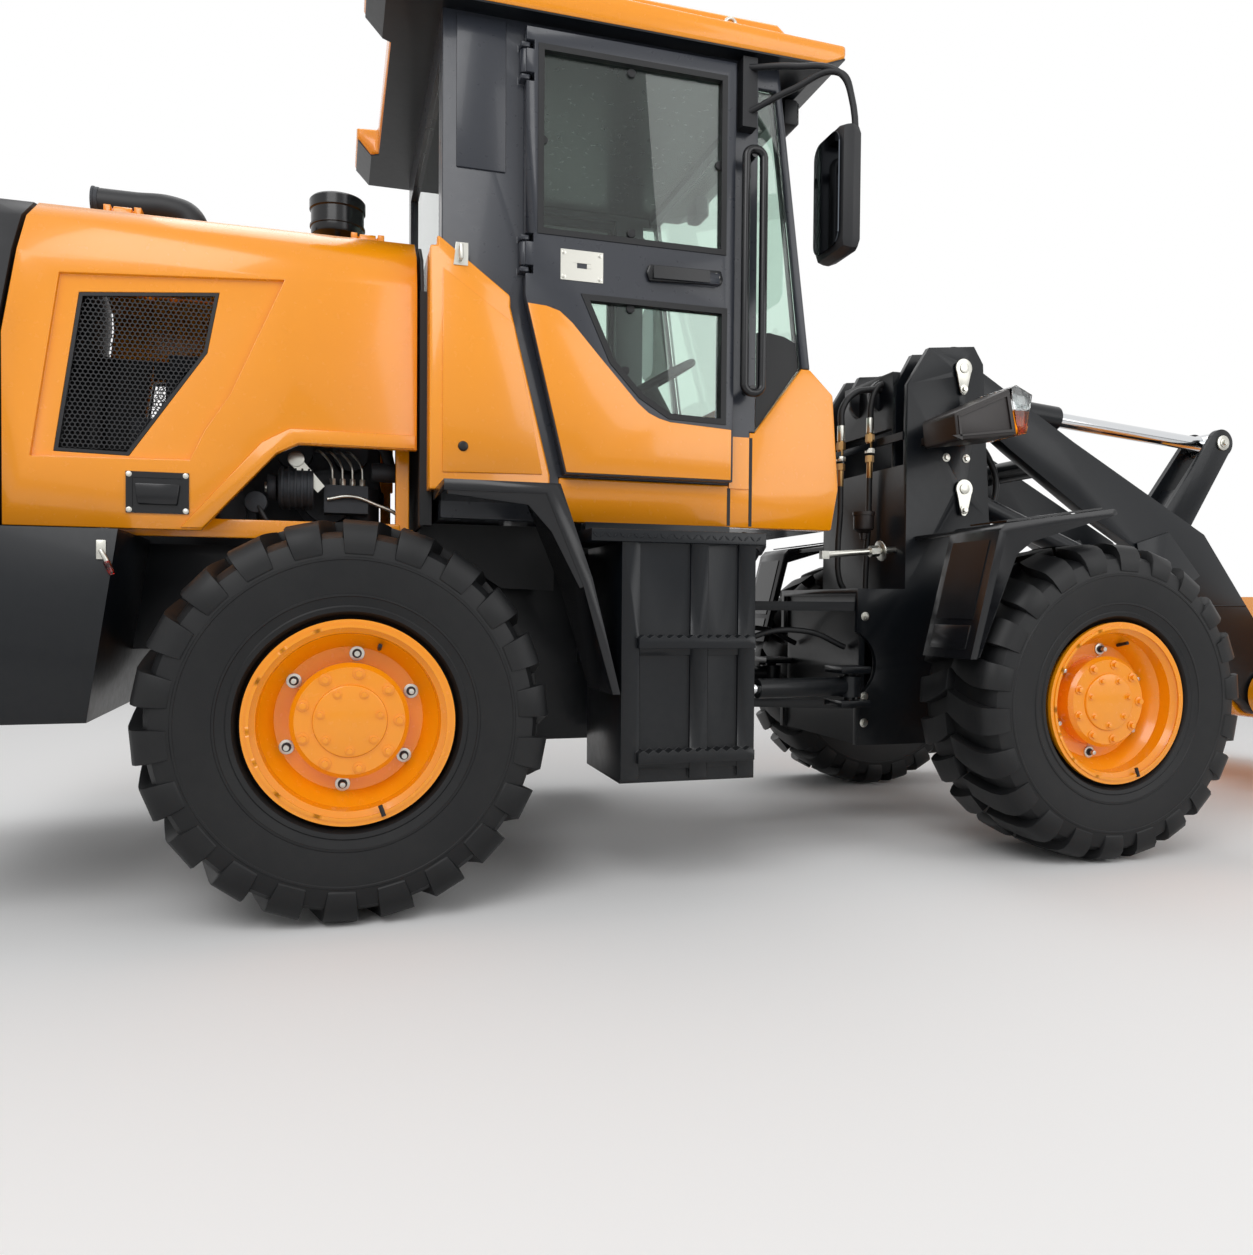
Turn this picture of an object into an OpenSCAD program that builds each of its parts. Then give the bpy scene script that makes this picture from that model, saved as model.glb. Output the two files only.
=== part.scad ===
// Compact articulated wheel loader, standing on its wheels with the bucket carried low.
// Lengths in millimetres. Stations of the rear frame are measured forward from the rear axle, and those of
// the front frame and the loader arms forward from the front axle.

/* [Wheels] */
// Distance between the axles
wheelbase = 2470; // [2400:10:2540]
// Distance between the tyres' middle planes on one axle
track = 1500; // [1480:5:1540]
// Tyre diameter over the lugs
tyre_od = 1080; // [1060:2:1100]
// Tyre width over the sidewalls
tyre_w = 410; // [390:2:420]
// Diameter of the rim flange
flange_d = 543; // [535:1:555]
// Rim width over both flanges
rim_w = 370; // [350:2:380]
// Diameter of the planetary hub
hub_d = 310; // [280:2:330]
// Diameter of the axle's stub shaft
stub_d = 120; // [100:2:140]
// Diameter of the axle housing's tube
axle_d = 190; // [160:2:200]
// Lugs in each of a tyre's two rows
lug_count = 22; // [18:1:26]
// Width of a lug along the tread
lug_w = 94; // [80:1:100]
// Depth of the tread
lug_depth = 34; // [26:1:40]

/* [Rear frame] */
// Rear axle to the back of the counterweight
rear_overhang = 1250; // [1200:5:1320]
// Half width over the frame rails
rail_half = 315; // [300:1:330]
// Thickness of the frame plates
plate_t = 25; // [20:1:30]
// Height of the rails' top edge
rail_top = 1030; // [1010:5:1040]
// Height of the rails' lower edge over the axle
rail_low = 710; // [700:5:740]
// Radius of the hinge plates round the steering pivot
lug_r = 110; // [100:1:120]
// Diameter of the steering pivot pins
pivot_d = 70; // [60:1:80]
// Half width of the counterweight
ballast_half = 790; // [740:5:840]
// Diameter of the towing pin's hole
hitch_d = 40; // [32:1:50]

/* [Hood] */
// Width over the hood's side doors
hood_w = 1200; // [1160:5:1220]
// Height of the hood's middle cover
hood_z = 1985; // [1960:5:2000]
// Thickness of the hood's panels
hood_t = 28; // [22:1:32]
// Half width of the hood's middle cover
spine_half = 330; // [300:5:350]
// Height of the hood doors' lower edge behind the wheel
hood_low = 1055; // [1045:5:1080]
// Height of the hood doors' edge over the wheel
hood_arch = 1310; // [1290:5:1340]

/* [Cab] */
// Width over the cab's frame
cab_w = 1270; // [1230:5:1290]
// Station of the cab's rear wall
cab_rear = 262; // [255:1:275]
// Height of the cab's underside
cab_low = 1110; // [1100:5:1120]
// Height of the cab frame's top
cab_top = 2610; // [2560:5:2640]
// Thickness of the cab's walls
cab_t = 45; // [38:1:50]
// Thickness of the doors
door_t = 36; // [30:1:42]
// Station of the doors' hinge edge
door_rear = 505; // [500:1:515]
// Station of the doors' front edge
door_front = 1180; // [1170:1:1190]
// Thickness of the window glass
glass_t = 6; // [5:0.5:8]
// Width over the roof
roof_w = 1400; // [1370:5:1430]
// Thickness of the roof's edge
roof_t = 70; // [55:1:85]

/* [Front frame] */
// Half width over the loader tower
tower_half = 325; // [320:1:335]
// Height of the loader tower
tower_z = 1865; // [1850:5:1880]

/* [Loader arms] */
// Station of the arms' pivot
arm_x = -195; // [-205:1:-185]
// Height of the arms' pivot
arm_z = 1775; // [1765:1:1785]
// Thickness of each arm
arm_t = 60; // [50:1:64]
// Diameter of the arms' pins
pin_d = 60; // [50:1:66]
// Station of the bucket pins
tip_x = 1400; // [1385:1:1415]
// Height of the bucket pins
tip_z = 490; // [480:1:500]
// Outer diameter of the lift cylinders
lift_d = 100; // [90:1:110]
// Outer diameter of the tilt cylinder
tilt_d = 110; // [100:1:118]
// Outer diameter of the steering cylinders
steer_d = 70; // [60:1:80]

/* [Bucket] */
// Bucket width
bucket_w = 2000; // [1960:10:2100]
// Thickness of the bucket's plates
bucket_t = 20; // [16:1:25]
// Bucket pins to the cutting edge
bucket_reach = 1040; // [1000:5:1080]
// Diameter of the holes for the bolted cutting edge
edge_hole_d = 22; // [18:1:26]
// Bucket pins to the bucket's back wall
bucket_back = 235; // [225:1:250]
// Radius of the bucket's curved back
bucket_r = 230; // [210:5:240]

/* [Hidden] */
$fn = 48;
hull_fn = 32;

// Clearances
pin_gap = 0.3;
run_gap = 5;
seal_gap = 0.3;

// Width of a bar's sides against its round ends
waist = 0.95;

// Wheels
axle_z = tyre_od / 2;
seat_r = 254;
hub_face = 45;
disc_in = 110;
disc_t = 26;
lug_slant = 14;

// Steering pivot
pivot_x = wheelbase / 2;
rail_front = pivot_x - 150;
upper_lug_z = 880;
lower_lug_z = 430;
lug_t = 35;

// Loader arms
arm_y = tower_half - plate_t - 14 - arm_t / 2;
lift_base = [-185, 1313];
lift_eye = [790, 940];
tilt_base = [-230, 1745];
lever_pivot = [965, 1040];
lever_top = [1360, 1615];
lever_low = [860, 560];
lever_half = 85;
link_half = lever_half - plate_t - run_gap;
boss_r = 95;
ear_r = 105;
lift_rod_r = 27.5;
tilt_rod_r = 32;

// Bucket about its pins, its floor level
bucket_floor = -165;
heel_x = bucket_back + bucket_r;
heel_z = bucket_floor + bucket_r;
bucket_top = 330;
edge_t = 25;
edge_w = 185;
crank = [55, 150];
bucket_pin = [tip_x, tip_z] + crank;

// Middle of the machine's length, which is the origin's station
x_mid = (wheelbase + tip_x + bucket_reach - rear_overhang) / 2;

// Steering cylinders
steer_hook = pivot_x - 155;
steer_front = [-670, 340];
steer_rear = [steer_hook - wheelbase, 400];
steer_z = 560;

function rear_edge(z) = lid_rear + (z - hood_at(0.554)) * lid_lean;

// Height on the hood doors, as a share of the way from their lower edge to the top
function hood_at(share) = hood_low + share * (hood_z - hood_low);
function toward(p, q) = (q - p) / norm(q - p);
function heading(p, q) = atan2(q[1] - p[1], q[0] - p[0]);
function span(p, q) = norm(q - p);

// Puts stations measured from the rear axle into the machine's own frame
module place() { translate([-x_mid, 0, 0]) children(); }

// Puts stations measured from the front axle into the machine's own frame
module place_front() { translate([wheelbase - x_mid, 0, 0]) children(); }

module both_sides() {
  children();
  mirror([0, 1, 0]) children();
}

// Side-view outline (station, height) made into a plate from y0 to y1
module plate(y0, y1) { translate([0, y1, 0]) rotate([90, 0, 0]) linear_extrude(y1 - y0) children(); }

// Plan outline made into a plate from z0 to z1
module slab(z0, z1) { translate([0, 0, z0]) linear_extrude(z1 - z0) children(); }

// Crosswise section (y, z) made into a bar from x0 to x1
module bar(x0, x1) {
  translate([x0, 0, 0]) rotate([90, 0, 90]) linear_extrude(x1 - x0) children();
}

module box(lo, hi) { translate(lo) cube(hi - lo); }

// Round bar across the machine at station and height p, from y0 to y1
module cross(p, r, y0, y1) { translate([p[0], y1, p[1]]) rotate([90, 0, 0]) cylinder(r = r, h = y1 - y0); }

// Round bar in a lengthwise plane at y, from p to q
module rod(p, q, r, y) {
  translate([p[0], y, p[1]]) rotate([0, 90 - heading(p, q), 0]) cylinder(r = r, h = span(p, q));
}

// Outline of a bar with round ends, drawn in side view; its sides lie a little inside the ends' edges
module strap(p, q, r1, r2) {
  s1 = waist * r1;
  s2 = waist * r2;
  translate(p) circle(r1);
  translate(q) circle(r2);
  translate(p) rotate(heading(p, q)) polygon([[0, -s1], [span(p, q), -s2], [span(p, q), s2], [0, s1]]);
}

// Rear frame

module rail_outline() {
  polygon([[-1000, rail_top], [-1000, rail_low], [300, rail_low], [620, 395], [rail_front, 395],
    [rail_front, upper_lug_z + lug_t], [rail_front - 185, rail_top]]);
}

module rear_lug(z) {
  slab(z, z + lug_t) difference() {
    union() {
      translate([pivot_x, 0]) circle(lug_r);
      translate([rail_front - plate_t, -waist * lug_r]) square([pivot_x - rail_front + plate_t, 2 * waist * lug_r]);
    }
    translate([pivot_x, 0]) circle(d = pivot_d + 2 * pin_gap);
  }
}

module rear_chassis() {
  color("#23262c") place() {
    both_sides() plate(-rail_half, -rail_half + plate_t) rail_outline();
    inner = rail_half - plate_t;
    box([rail_front - plate_t, -inner, 395], [rail_front, inner, upper_lug_z + lug_t]);
    box([-1000, -inner, rail_low], [-975, inner, rail_top]);
    box([330, -inner, rail_low], [390, inner, rail_low + 60]);
    rear_lug(upper_lug_z);
    rear_lug(lower_lug_z);
    both_sides() for (z = [steer_z - 65, steer_z + 40])
      box([steer_hook - 60, -steer_rear[1] - 50, z], [steer_hook + 50, -rail_half, z + 25]);
  }
}

module hinge_pins() {
  color("#8d9096") place() for (z = [lower_lug_z, upper_lug_z]) {
    down = z == lower_lug_z ? 0 : lug_t + run_gap;
    translate([pivot_x, 0, z - down]) cylinder(d = pivot_d, h = 2 * lug_t + run_gap);
    if (down > 0) translate([pivot_x, 0, z + lug_t]) cylinder(d = pivot_d + 40, h = 14);
    else translate([pivot_x, 0, z - 14]) cylinder(d = pivot_d + 40, h = 14);
  }
}

// Axle housing on the line through station x, with its stubs reaching into the wheels
module axle(x, pad_top) {
  reach = track / 2 + rim_w / 2 - disc_in - disc_t - 14;
  stub = track / 2 + rim_w / 2 - disc_in + 20;
  place() {
    cross([x, axle_z], axle_d / 2, -reach, reach);
    cross([x, axle_z], stub_d / 2, -stub, stub);
    translate([x, 0, axle_z]) sphere(r = 190);
    both_sides() {
      cross([x, axle_z], axle_d / 2 + 22, -reach, -reach + 60);
      box([x - 90, -rail_half - 20, axle_z], [x + 90, -rail_half + 90, pad_top]);
    }
  }
}

module rear_axle() { color("#2c2f35") axle(0, rail_low); }

module counterweight() {
  side = [[-rear_overhang, 600], [-rear_overhang + 60, 540], [-650, 540], [-575, 1040],
    [-rear_overhang + 40, 1040], [-rear_overhang, 980]];
  color("#202227") place() difference() {
    plate(-ballast_half, ballast_half) polygon(side);
    box([-1000 - seal_gap, -rail_half - seal_gap, rail_low - seal_gap], [-500, rail_half + seal_gap, 1100]);
    box([-rear_overhang - 1, -90, 640], [-rear_overhang + 140, 90, 780]);
    translate([-rear_overhang + 80, 0, 500]) cylinder(d = hitch_d, h = 600);
  }
}

module engine() {
  color("#34373c") place() {
    box([-640, -250, rail_low + 20], [100, 250, 1420]);
    both_sides() {
      box([-640, -rail_half + plate_t, 800], [-520, -240, 900]);
      box([-60, -rail_half + plate_t, 800], [60, -240, 900]);
    }
    box([-560, -120, 1400], [60, 120, 1600]);
    for (i = [0:3]) {
      cross([-500 + 170 * i, 1330], 55, -330, -240);
      box([-545 + 170 * i, -150, 1590], [-455 + 170 * i, -90, 1640]);
      translate([-500 + 170 * i, -290, 1340]) cylinder(r = 9, h = 110);
    }
    box([-545, -300, 1440], [55, -270, 1465]);
    box([-545, -275, 1440], [-515, -115, 1465]);
    cross([-60, 1180], 75, -370, -240);
    cross([-60, 1180], 95, -330, -300);
    translate([50, -300, 1050]) cylinder(r = 50, h = 170);
    box([0, -340, 1040], [90, -240, 1070]);
    cross([-330, 1120], 62, -400, -240);
    cross([-330, 1120], 38, -440, -390);
    box([-480, -330, 1100], [-420, -240, 1200]);
  }
}

module transmission() {
  color("#2f3237") place() {
    box([420, -230, 520], [rail_front - 185, 230, 980]);
    both_sides() box([560, -rail_half + plate_t, 600], [660, -220, 700]);
    rod([202, axle_z], [430, 600], 45, 0);
    rod([rail_front - 195, 620], [rail_front - 45, 655], 45, 0);
  }
}

// Hood

lid_front = 195;
lid_rear = -890;
hinge_y = spine_half + 20;
hinge_spots = [-640, 60];
hinge_len = 60;
hinge_r = 16;
hinge_pin_r = 8;
hinge_z = hood_z + hinge_r + 3;
post_y = hood_w / 2 - 90;
lid_lean = 0.17;
panel_sunk = 14;
mesh_pitch = 36;
mesh_rim = 14;

module hood_top() {
  color("#f59a0c") place() {
    box([-800, -spine_half, hood_z - hood_t], [lid_front, spine_half, hood_z]);
    both_sides() {
      box([140, -post_y, rail_top + 50], [180, -post_y + 40, hood_z - 160]);
      box([140, -post_y, hood_z - 160], [180, -spine_half + 30, hood_z - 120]);
      box([140, -spine_half, hood_z - 160], [180, -spine_half + 40, hood_z - hood_t]);
      for (x = hinge_spots) {
        for (s = [-1, 1]) translate([x + s * (hinge_len / 2 + 11), 0, 0]) difference() {
          box([-10, -hinge_y - hinge_r, hood_z - hood_t], [10, -spine_half + 40, hinge_z + hinge_r]);
          box([-11, -hinge_y - hinge_r - 1, hood_z - hood_t - 1], [11, -spine_half, hood_z - 4]);
        }
        translate([x - hinge_len / 2 - 11, -hinge_y, hinge_z]) rotate([0, 90, 0])
          cylinder(r = hinge_pin_r, h = hinge_len + 22);
      }
    }
    box([130, -post_y, rail_top], [190, post_y, rail_top + 50]);
  }
}

// Outer line of the hood's right half in section, from height z up to the hinge
function hood_section(z) = [[-hood_w / 2, z], [-hood_w / 2, hood_z - 195], [-hood_w / 2 + 25, hood_z - 95],
  [-hood_w / 2 + 100, hood_z - 32], [-hinge_y, hood_z]];

// Right-hand hood door: a bent section cut to its side outline, with a sunk panel round the grille
module hood_lid() {
  half = hood_w / 2;
  outer = hood_section(900);
  inner = [[-hinge_y, hood_z - hood_t], [-half + 108, hood_z - 32 - hood_t],
    [-half + 25 + hood_t - 4, hood_z - 109], [-half + hood_t, hood_z - 201], [-half + hood_t, 900]];
  over = hood_z + 115;
  side = [[rear_edge(over), over], [lid_front, over], [lid_front, hood_arch], [-140, hood_arch], [-200, hood_arch - 30],
    [-400, hood_low], [lid_rear, hood_low], [lid_rear, hood_at(0.554)]];
  place() difference() {
    union() {
      intersection() {
        bar(-900, 200) polygon(concat(outer, inner));
        plate(-half - 1, 0) polygon(side);
      }
      for (x = hinge_spots) {
        translate([x - hinge_len / 2, -hinge_y, hinge_z]) rotate([0, 90, 0]) cylinder(r = hinge_r, h = hinge_len);
        box([x - hinge_len / 2, -hinge_y - hinge_r, hood_z - hood_t],
          [x + hinge_len / 2, -hinge_y - hinge_pin_r - 3, hinge_z]);
      }
    }
    for (x = hinge_spots) translate([x - hinge_len, -hinge_y, hinge_z]) rotate([0, 90, 0])
      cylinder(r = hinge_pin_r + pin_gap, h = 2 * hinge_len);
    plate(-half - 10, -half + hood_t + 10) grille_outline(0);
    plate(-half - 10, -half + panel_sunk) polygon([[-752, hood_at(0.735)], [-178, hood_at(0.775)], [-324, hood_at(0.412)],
      [-389, hood_at(0.302)], [-428, hood_at(0.21)], [-824, hood_at(0.202)]]);
    for (x = hinge_spots, s = [-1, 1]) translate([x + s * (hinge_len / 2 + 11), 0, 0])
      box([-16, -hinge_y - hinge_r - 6, hood_z - hood_t - 6], [16, -spine_half, hinge_z + hinge_r + 6]);
  }
}

module grille_outline(inset) {
  i = inset;
  polygon([[-707 + i, hood_at(0.687) - i], [-352 - i, hood_at(0.722) - i], [-384 - i, hood_at(0.537)],
    [-585 - i, hood_at(0.216) + i], [-771 + i, hood_at(0.22) + i]]);
}

module side_grille() {
  half = hood_w / 2;
  place() plate(-half + 16, -half + 22) difference() {
    grille_outline(seal_gap);
    intersection() {
      grille_outline(mesh_rim);
      for (i = [0:12], j = [0:13])
        translate([-772 + (i + (j % 2) / 2) * mesh_pitch, hood_at(0.22) + j * mesh_pitch * 0.866])
          rotate(30) circle(mesh_pitch / 2, $fn = 6);
    }
  }
}

module hood_right() { color("#f59a0c") hood_lid(); }
module hood_left() { color("#f59a0c") mirror([0, 1, 0]) hood_lid(); }
module grille_right() { color("#1b1c1f") side_grille(); }
module grille_left() { color("#1b1c1f") mirror([0, 1, 0]) side_grille(); }

module rear_grille() {
  half = hood_w / 2;
  back = -1150;
  pitch = (hood_at(0.737) - hood_low - 60) / 10;
  right = hood_section(hood_low - 16);
  left = [for (i = [len(right) - 1:-1:0]) [-right[i][0], right[i][1]]];
  color("#2a2d33") place() difference() {
    intersection() {
      plate(-half, half) polygon([[rear_edge(hood_z) - 12, hood_z - 8],
        [lid_rear - 12, hood_at(0.554)], [lid_rear - 12, hood_low - 15], [back, hood_low - 15],
        [back, hood_at(0.747)], [back + 60, hood_z - 60]]);
      bar(back - 1, -700) polygon(concat(right, left));
    }
    plate(-half + 40, half - 40) polygon([[-700, hood_at(0.7)], [-700, hood_low + 10], [back + 30, hood_low + 10],
      [back + 30, hood_at(0.7)]]);
    plate(-spine_half, spine_half) polygon([[-700, hood_z - 60], [-700, hood_at(0.69)], [back + 30, hood_at(0.69)],
      [back + 30, hood_at(0.737)], [back + 80, hood_z - 90]]);
    for (i = [0:9]) box([back - 1, -half + 90, hood_low + 60 + pitch * i],
      [back + 31, half - 90, hood_low + 60 + pitch * (i + 0.65)]);
  }
}

module air_intake() {
  color("#17181a") place() translate([-30, -190, hood_z]) {
    cylinder(r = 50, h = 70);
    translate([0, 0, 70]) cylinder(r = 88, h = 120);
    translate([0, 0, 190]) cylinder(r = 80, h = 12);
  }
}

module exhaust() {
  color("#1d1e20") place() {
    translate([-470, -150, hood_z]) cylinder(r = 42, h = 110);
    translate([-760, -150, hood_z + 110]) rotate([0, 90, 0]) cylinder(r = 48, h = 345);
  }
}

// Cab

screen_top = [1345, cab_top];
screen_low = [1470, 1640];
cowl_split = 1255;
sill_z = 1245;
side_in = 60;
head_z = cab_top - 70;

module cab_outline(inset) {
  polygon([[cab_rear + inset, cab_low + inset], [1555 - inset, cab_low + inset], [1580 - inset, 1250],
    [1556 - inset, 1560], screen_low - [inset, 0], screen_top - [inset, inset], [cab_rear + inset, cab_top - inset]]);
}

// The cab's hollow shell with every door and window opening cut
module cab_shell() {
  half = cab_w / 2;
  difference() {
    plate(-half, half) cab_outline(0);
    plate(-half + cab_t, half - cab_t) cab_outline(cab_t);
    plate(-half - 1, half + 1) door_outline(30);
    plate(-half - 1, half + 1) quarter_outline();
    box([cab_rear - 1, -half + 90, 1500], [cab_rear + cab_t + 1, half - 90, cab_top - 110]);
    box([1290, -half + 60, screen_low[1]], [1600, half - 60, cab_top - 70]);
  }
}

module door_outline(inset) {
  polygon([[door_rear + inset, 1780 - inset / 3], [door_rear + inset, 2575 - inset], [door_front - inset, 2575 - inset],
    [door_front - inset, sill_z + inset + 5], [630 + inset, sill_z + inset + 5]]);
}

module quarter_outline() {
  polygon([[1275, 1420], [1275, cab_top - 80], [1335, cab_top - 80], [1440, 1640]]);
}

// Side parts of the cowl and the sill under the door
module cowl_zone() {
  half = cab_w / 2 + 1;
  box([cowl_split, -half, cab_low - 1], [1700, half, 1420]);
  box([cowl_split + 20, -half, 1400], [1700, half, screen_low[1]]);
  box([620, -half, cab_low - 1], [1300, half, sill_z]);
}

// Space between the cab's two side frames
module between_sides(grow) {
  box([cab_rear - 10, -cab_w / 2 + side_in - grow, cab_low - 10], [1700, cab_w / 2 - side_in + grow, cab_top + 10]);
}

module door_hinge_pins() {
  for (z = [1850, 2420]) {
    translate([door_rear, -cab_w / 2 - 20, z]) cylinder(r = 8, h = 110);
    for (s = [0, 95]) box([door_rear - 16, -cab_w / 2 - 36, z + s], [door_rear + 12, -cab_w / 2, z + s + 15]);
  }
}

module cab_sides() {
  color("#55585f") place() {
    difference() {
      cab_shell();
      cowl_zone();
      between_sides(0);
    }
    both_sides() door_hinge_pins();
  }
}

module cab_head() {
  color("#55585f") place() intersection() {
    cab_shell();
    between_sides(0);
    box([0, -cab_w, head_z], [2000, cab_w, cab_top + 10]);
  }
}

module cab_rear_wall() {
  color("#55585f") place() intersection() {
    cab_shell();
    between_sides(0);
    box([0, -cab_w, 0], [cab_rear + cab_t, cab_w, head_z]);
  }
}

module cab_floor() {
  color("#55585f") place() intersection() {
    cab_shell();
    between_sides(0);
    box([cab_rear + cab_t, -cab_w, 0], [2000, cab_w, cab_low + cab_t]);
  }
}

module cab_front() {
  base = cab_low + cab_t;
  color("#f59a0c") place() plate(-cab_w / 2 + side_in, cab_w / 2 - side_in) polygon([[1563, base], [1580, 1250],
    [1556, 1560], screen_low, screen_low - [cab_t, 0], [1556 - cab_t, 1560], [1580 - cab_t, 1250], [1563 - cab_t, base]]);
}

module cowl() {
  color("#f59a0c") place() difference() {
    intersection() {
      cab_shell();
      cowl_zone();
    }
    between_sides(0);
  }
}

module roof() {
  half = roof_w / 2;
  color("#f59a0c") place() {
    difference() {
      plate(-half, half) polygon([[45, cab_top + 60], [100, cab_top], [1480, cab_top], [1555, cab_top + 30],
        [1555, cab_top + roof_t], [45, cab_top + roof_t + 30]]);
      translate([0, 0, cab_top - 50]) linear_extrude(200) polygon([[20, 280 - half], [125, 300 - half], [125, half - 300],
        [20, half - 280]]);
    }
    plate(-half + 90, half - 90) polygon([[170, cab_top + roof_t], [1450, cab_top + roof_t], [1350, cab_top + 155],
      [260, cab_top + 155]]);
  }
}

module cab_glass() {
  half = cab_w / 2;
  color([0.75, 0.86, 0.82, 0.4]) place() {
    box([cab_rear + 15, -half + 90 + seal_gap, 1500 + seal_gap],
      [cab_rear + 15 + glass_t, half - 90 - seal_gap, cab_top - 110 - seal_gap]);
    both_sides() plate(-half + 15, -half + 15 + glass_t) offset(delta = -seal_gap) quarter_outline();
    plate(-half + 60 + seal_gap, half - 60 - seal_gap) polygon([screen_low - [12, -seal_gap],
      screen_low - [12 + glass_t, -seal_gap], [1338 - glass_t, cab_top - 70 - seal_gap],
      [1338, cab_top - 70 - seal_gap]]);
  }
}

module seat() {
  color("#1c1d20") place() {
    box([560, -200, cab_low + cab_t], [860, 200, 1330]);
    box([520, -250, 1330], [980, 250, 1450]);
    plate(-240, 240) polygon([[480, 1440], [620, 1450], [540, 2060], [440, 2060]]);
  }
}

module controls() {
  color("#1f2024") place() {
    box([1180, -110, cab_low + cab_t], [1290, 110, 1560]);
    rod([1200, 1540], [1120, 1680], 30, 0);
    translate([1110, 0, 1690]) rotate([0, -30, 0]) rotate_extrude() translate([190, 0]) circle(14);
    translate([1110, 0, 1690]) rotate([0, -30, 0]) {
      translate([0, 0, -14]) cylinder(r = 40, h = 28);
      for (a = [90, 210, 330]) rotate(a) translate([0, -14, -7]) cube([190, 28, 14]);
    }
  }
}

// Right-hand door in its closed place, outside the cab's frame
module door() {
  y1 = -cab_w / 2 - run_gap;
  place() difference() {
    union() {
      plate(y1 - door_t, y1) door_outline(0);
      for (z = [1850, 2420]) translate([door_rear, -cab_w / 2 - 20, z + 16]) cylinder(r = 16, h = 78);
      plate(y1 - door_t - 22, y1 - door_t) translate([900, 1865]) square([220, 34]);
    }
    plate(y1 - door_t - 1, y1 + 1) upper_window(0);
    plate(y1 - door_t - 1, y1 + 1) lower_window(0);
    for (z = [1850, 2420]) {
      translate([door_rear, -cab_w / 2 - 20, z]) cylinder(r = 8 + pin_gap, h = 110);
      for (s = [-5, 90]) box([door_rear - 30, -cab_w / 2 - 60, z + s], [door_rear + 24, 0, z + s + 25]);
    }
  }
}

module upper_window(inset) {
  polygon([[550 + inset, 1975 + inset], [550 + inset, 2520 - inset], [1140 - inset, 2520 - inset],
    [1140 - inset, 1975 + inset]]);
}

module lower_window(inset) {
  polygon([[690 + inset, 1790 - inset], [1145 - inset, 1790 - inset], [1145 - inset, 1440 + inset],
    [965 + inset, 1446 + inset], [870 + inset, 1503 + inset], [776 + inset, 1602 + inset]]);
}

module door_glass() {
  y = -cab_w / 2 - run_gap - door_t / 2;
  place() plate(y - glass_t / 2, y + glass_t / 2) {
    upper_window(seal_gap);
    lower_window(seal_gap);
  }
}

module door_right() { color("#55585f") door(); }
module door_left() { color("#55585f") mirror([0, 1, 0]) door(); }
module door_glass_right() { color([0.75, 0.86, 0.82, 0.4]) door_glass(); }
module door_glass_left() { color([0.75, 0.86, 0.82, 0.4]) mirror([0, 1, 0]) door_glass(); }

module side_covers() {
  half = cab_w / 2;
  proud = run_gap + door_t - 1;
  color("#f59a0c") place() both_sides() {
    plate(-half - proud, -half) polygon([[245, 1190], [245, 1930], [462, 1770], [462, 1740], [585, 1245], [585, 1190]]);
    box([225, -half - proud, 1190], [245, -rail_half - 120, 1900]);
  }
}

module rear_fenders() {
  outer = track / 2 + tyre_w / 2 - 30;
  inner = cab_w / 2 + 2;
  color("#1a1b1e") place() both_sides() plate(-outer, -inner) polygon([[240, 1190], [240, 1160], [520, 1160], [628, 905],
    [716, 600], [738, 600], [655, 925], [560, 1190]]);
  color("#1a1b1e") place() both_sides() plate(-outer + 3, -outer + 11) polygon([[250, 1172], [250, 1150], [300, 1146],
    [470, 1128], [536, 1056], [618, 900], [642, 910], [549, 1172]]);
}

module step_boxes() {
  out = 925;
  color("#25282d") place() both_sides() {
    box([745, -out + 30, 340], [1165, -520, 1035]);
    for (z = [660, 860]) box([760, -520, z], [900, -rail_half, z + 80]);
    box([650, -out, 1035], [1185, -cab_w / 2 + 40, 1070]);
    box([700, -cab_w / 2 - 20, 1070], [1180, -cab_w / 2 + 40, cab_low]);
    for (x = [745, 955, 1105]) box([x, -out + 18, 350], [x + 55, -out + 30, 1035]);
    for (z = [400, 730]) {
      plate(-out - 10, -out + 30) polygon(concat([[1150, z], [790, z]],
        [for (i = [0:11]) each [[790 + 30 * i, z + 30], [805 + 30 * i, z + 40]]], [[1150, z + 30]]));
      box([790, -out + 20, z - 20], [1150, -out + 30, z]);
    }
  }
}

module filler_neck() {
  color("#26282d") place() {
    rod([1310, 1075], [1222, 930], 42, -550);
    box([1165, -595, 850], [1250, -505, 945]);
  }
}

module mirrors() {
  y = cab_w / 2 + 245;
  color("#17181a") place() both_sides() {
    box([1200, -cab_w / 2 - 45, 2400], [1250, -cab_w / 2, 2580]);
    hull() {
      translate([1225, -cab_w / 2 - 35, 2560]) sphere(r = 11, $fn = 12);
      translate([1430, -y, 2480]) sphere(r = 11, $fn = 12);
    }
    hull() {
      translate([1225, -cab_w / 2 - 35, 2430]) sphere(r = 11, $fn = 12);
      translate([1430, -y, 2480]) sphere(r = 11, $fn = 12);
    }
    translate([1430, -y, 2180]) cylinder(r = 11, h = 300);
    box([1400, -y - 100, 1980], [1470, -y + 100, 2370]);
  }
}

module grab_rails() {
  y = cab_w / 2 + 62;
  color("#141517") place() both_sides() {
    translate([1225, -y, 1480]) cylinder(r = 14, h = 820);
    for (z = [1480, 2300]) translate([1225, -y, z]) rotate([-90, 0, 0]) cylinder(r = 14, h = 62);
  }
}

module lamps() {
  color("#dfe3e6") place() both_sides() {
    box([1440, -480, cab_top - 95], [1500, -360, cab_top]);
    box([-1150 - 25, -540, 1120], [-1150, -440, 1230]);
  }
}

// Front frame

module tower_outline() {
  difference() {
    polygon([[-630, 925], [-630, 335], [-230, 335], [-180, 660], [190, 660], [250, 760], [10, 1000], [-60, 1200],
      [-98, 1800], [-140, tower_z], [-340, tower_z - 20], [-430, 1700], [-430, 925]]);
    translate([-680, 640]) circle(r = 130);
  }
}

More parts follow.
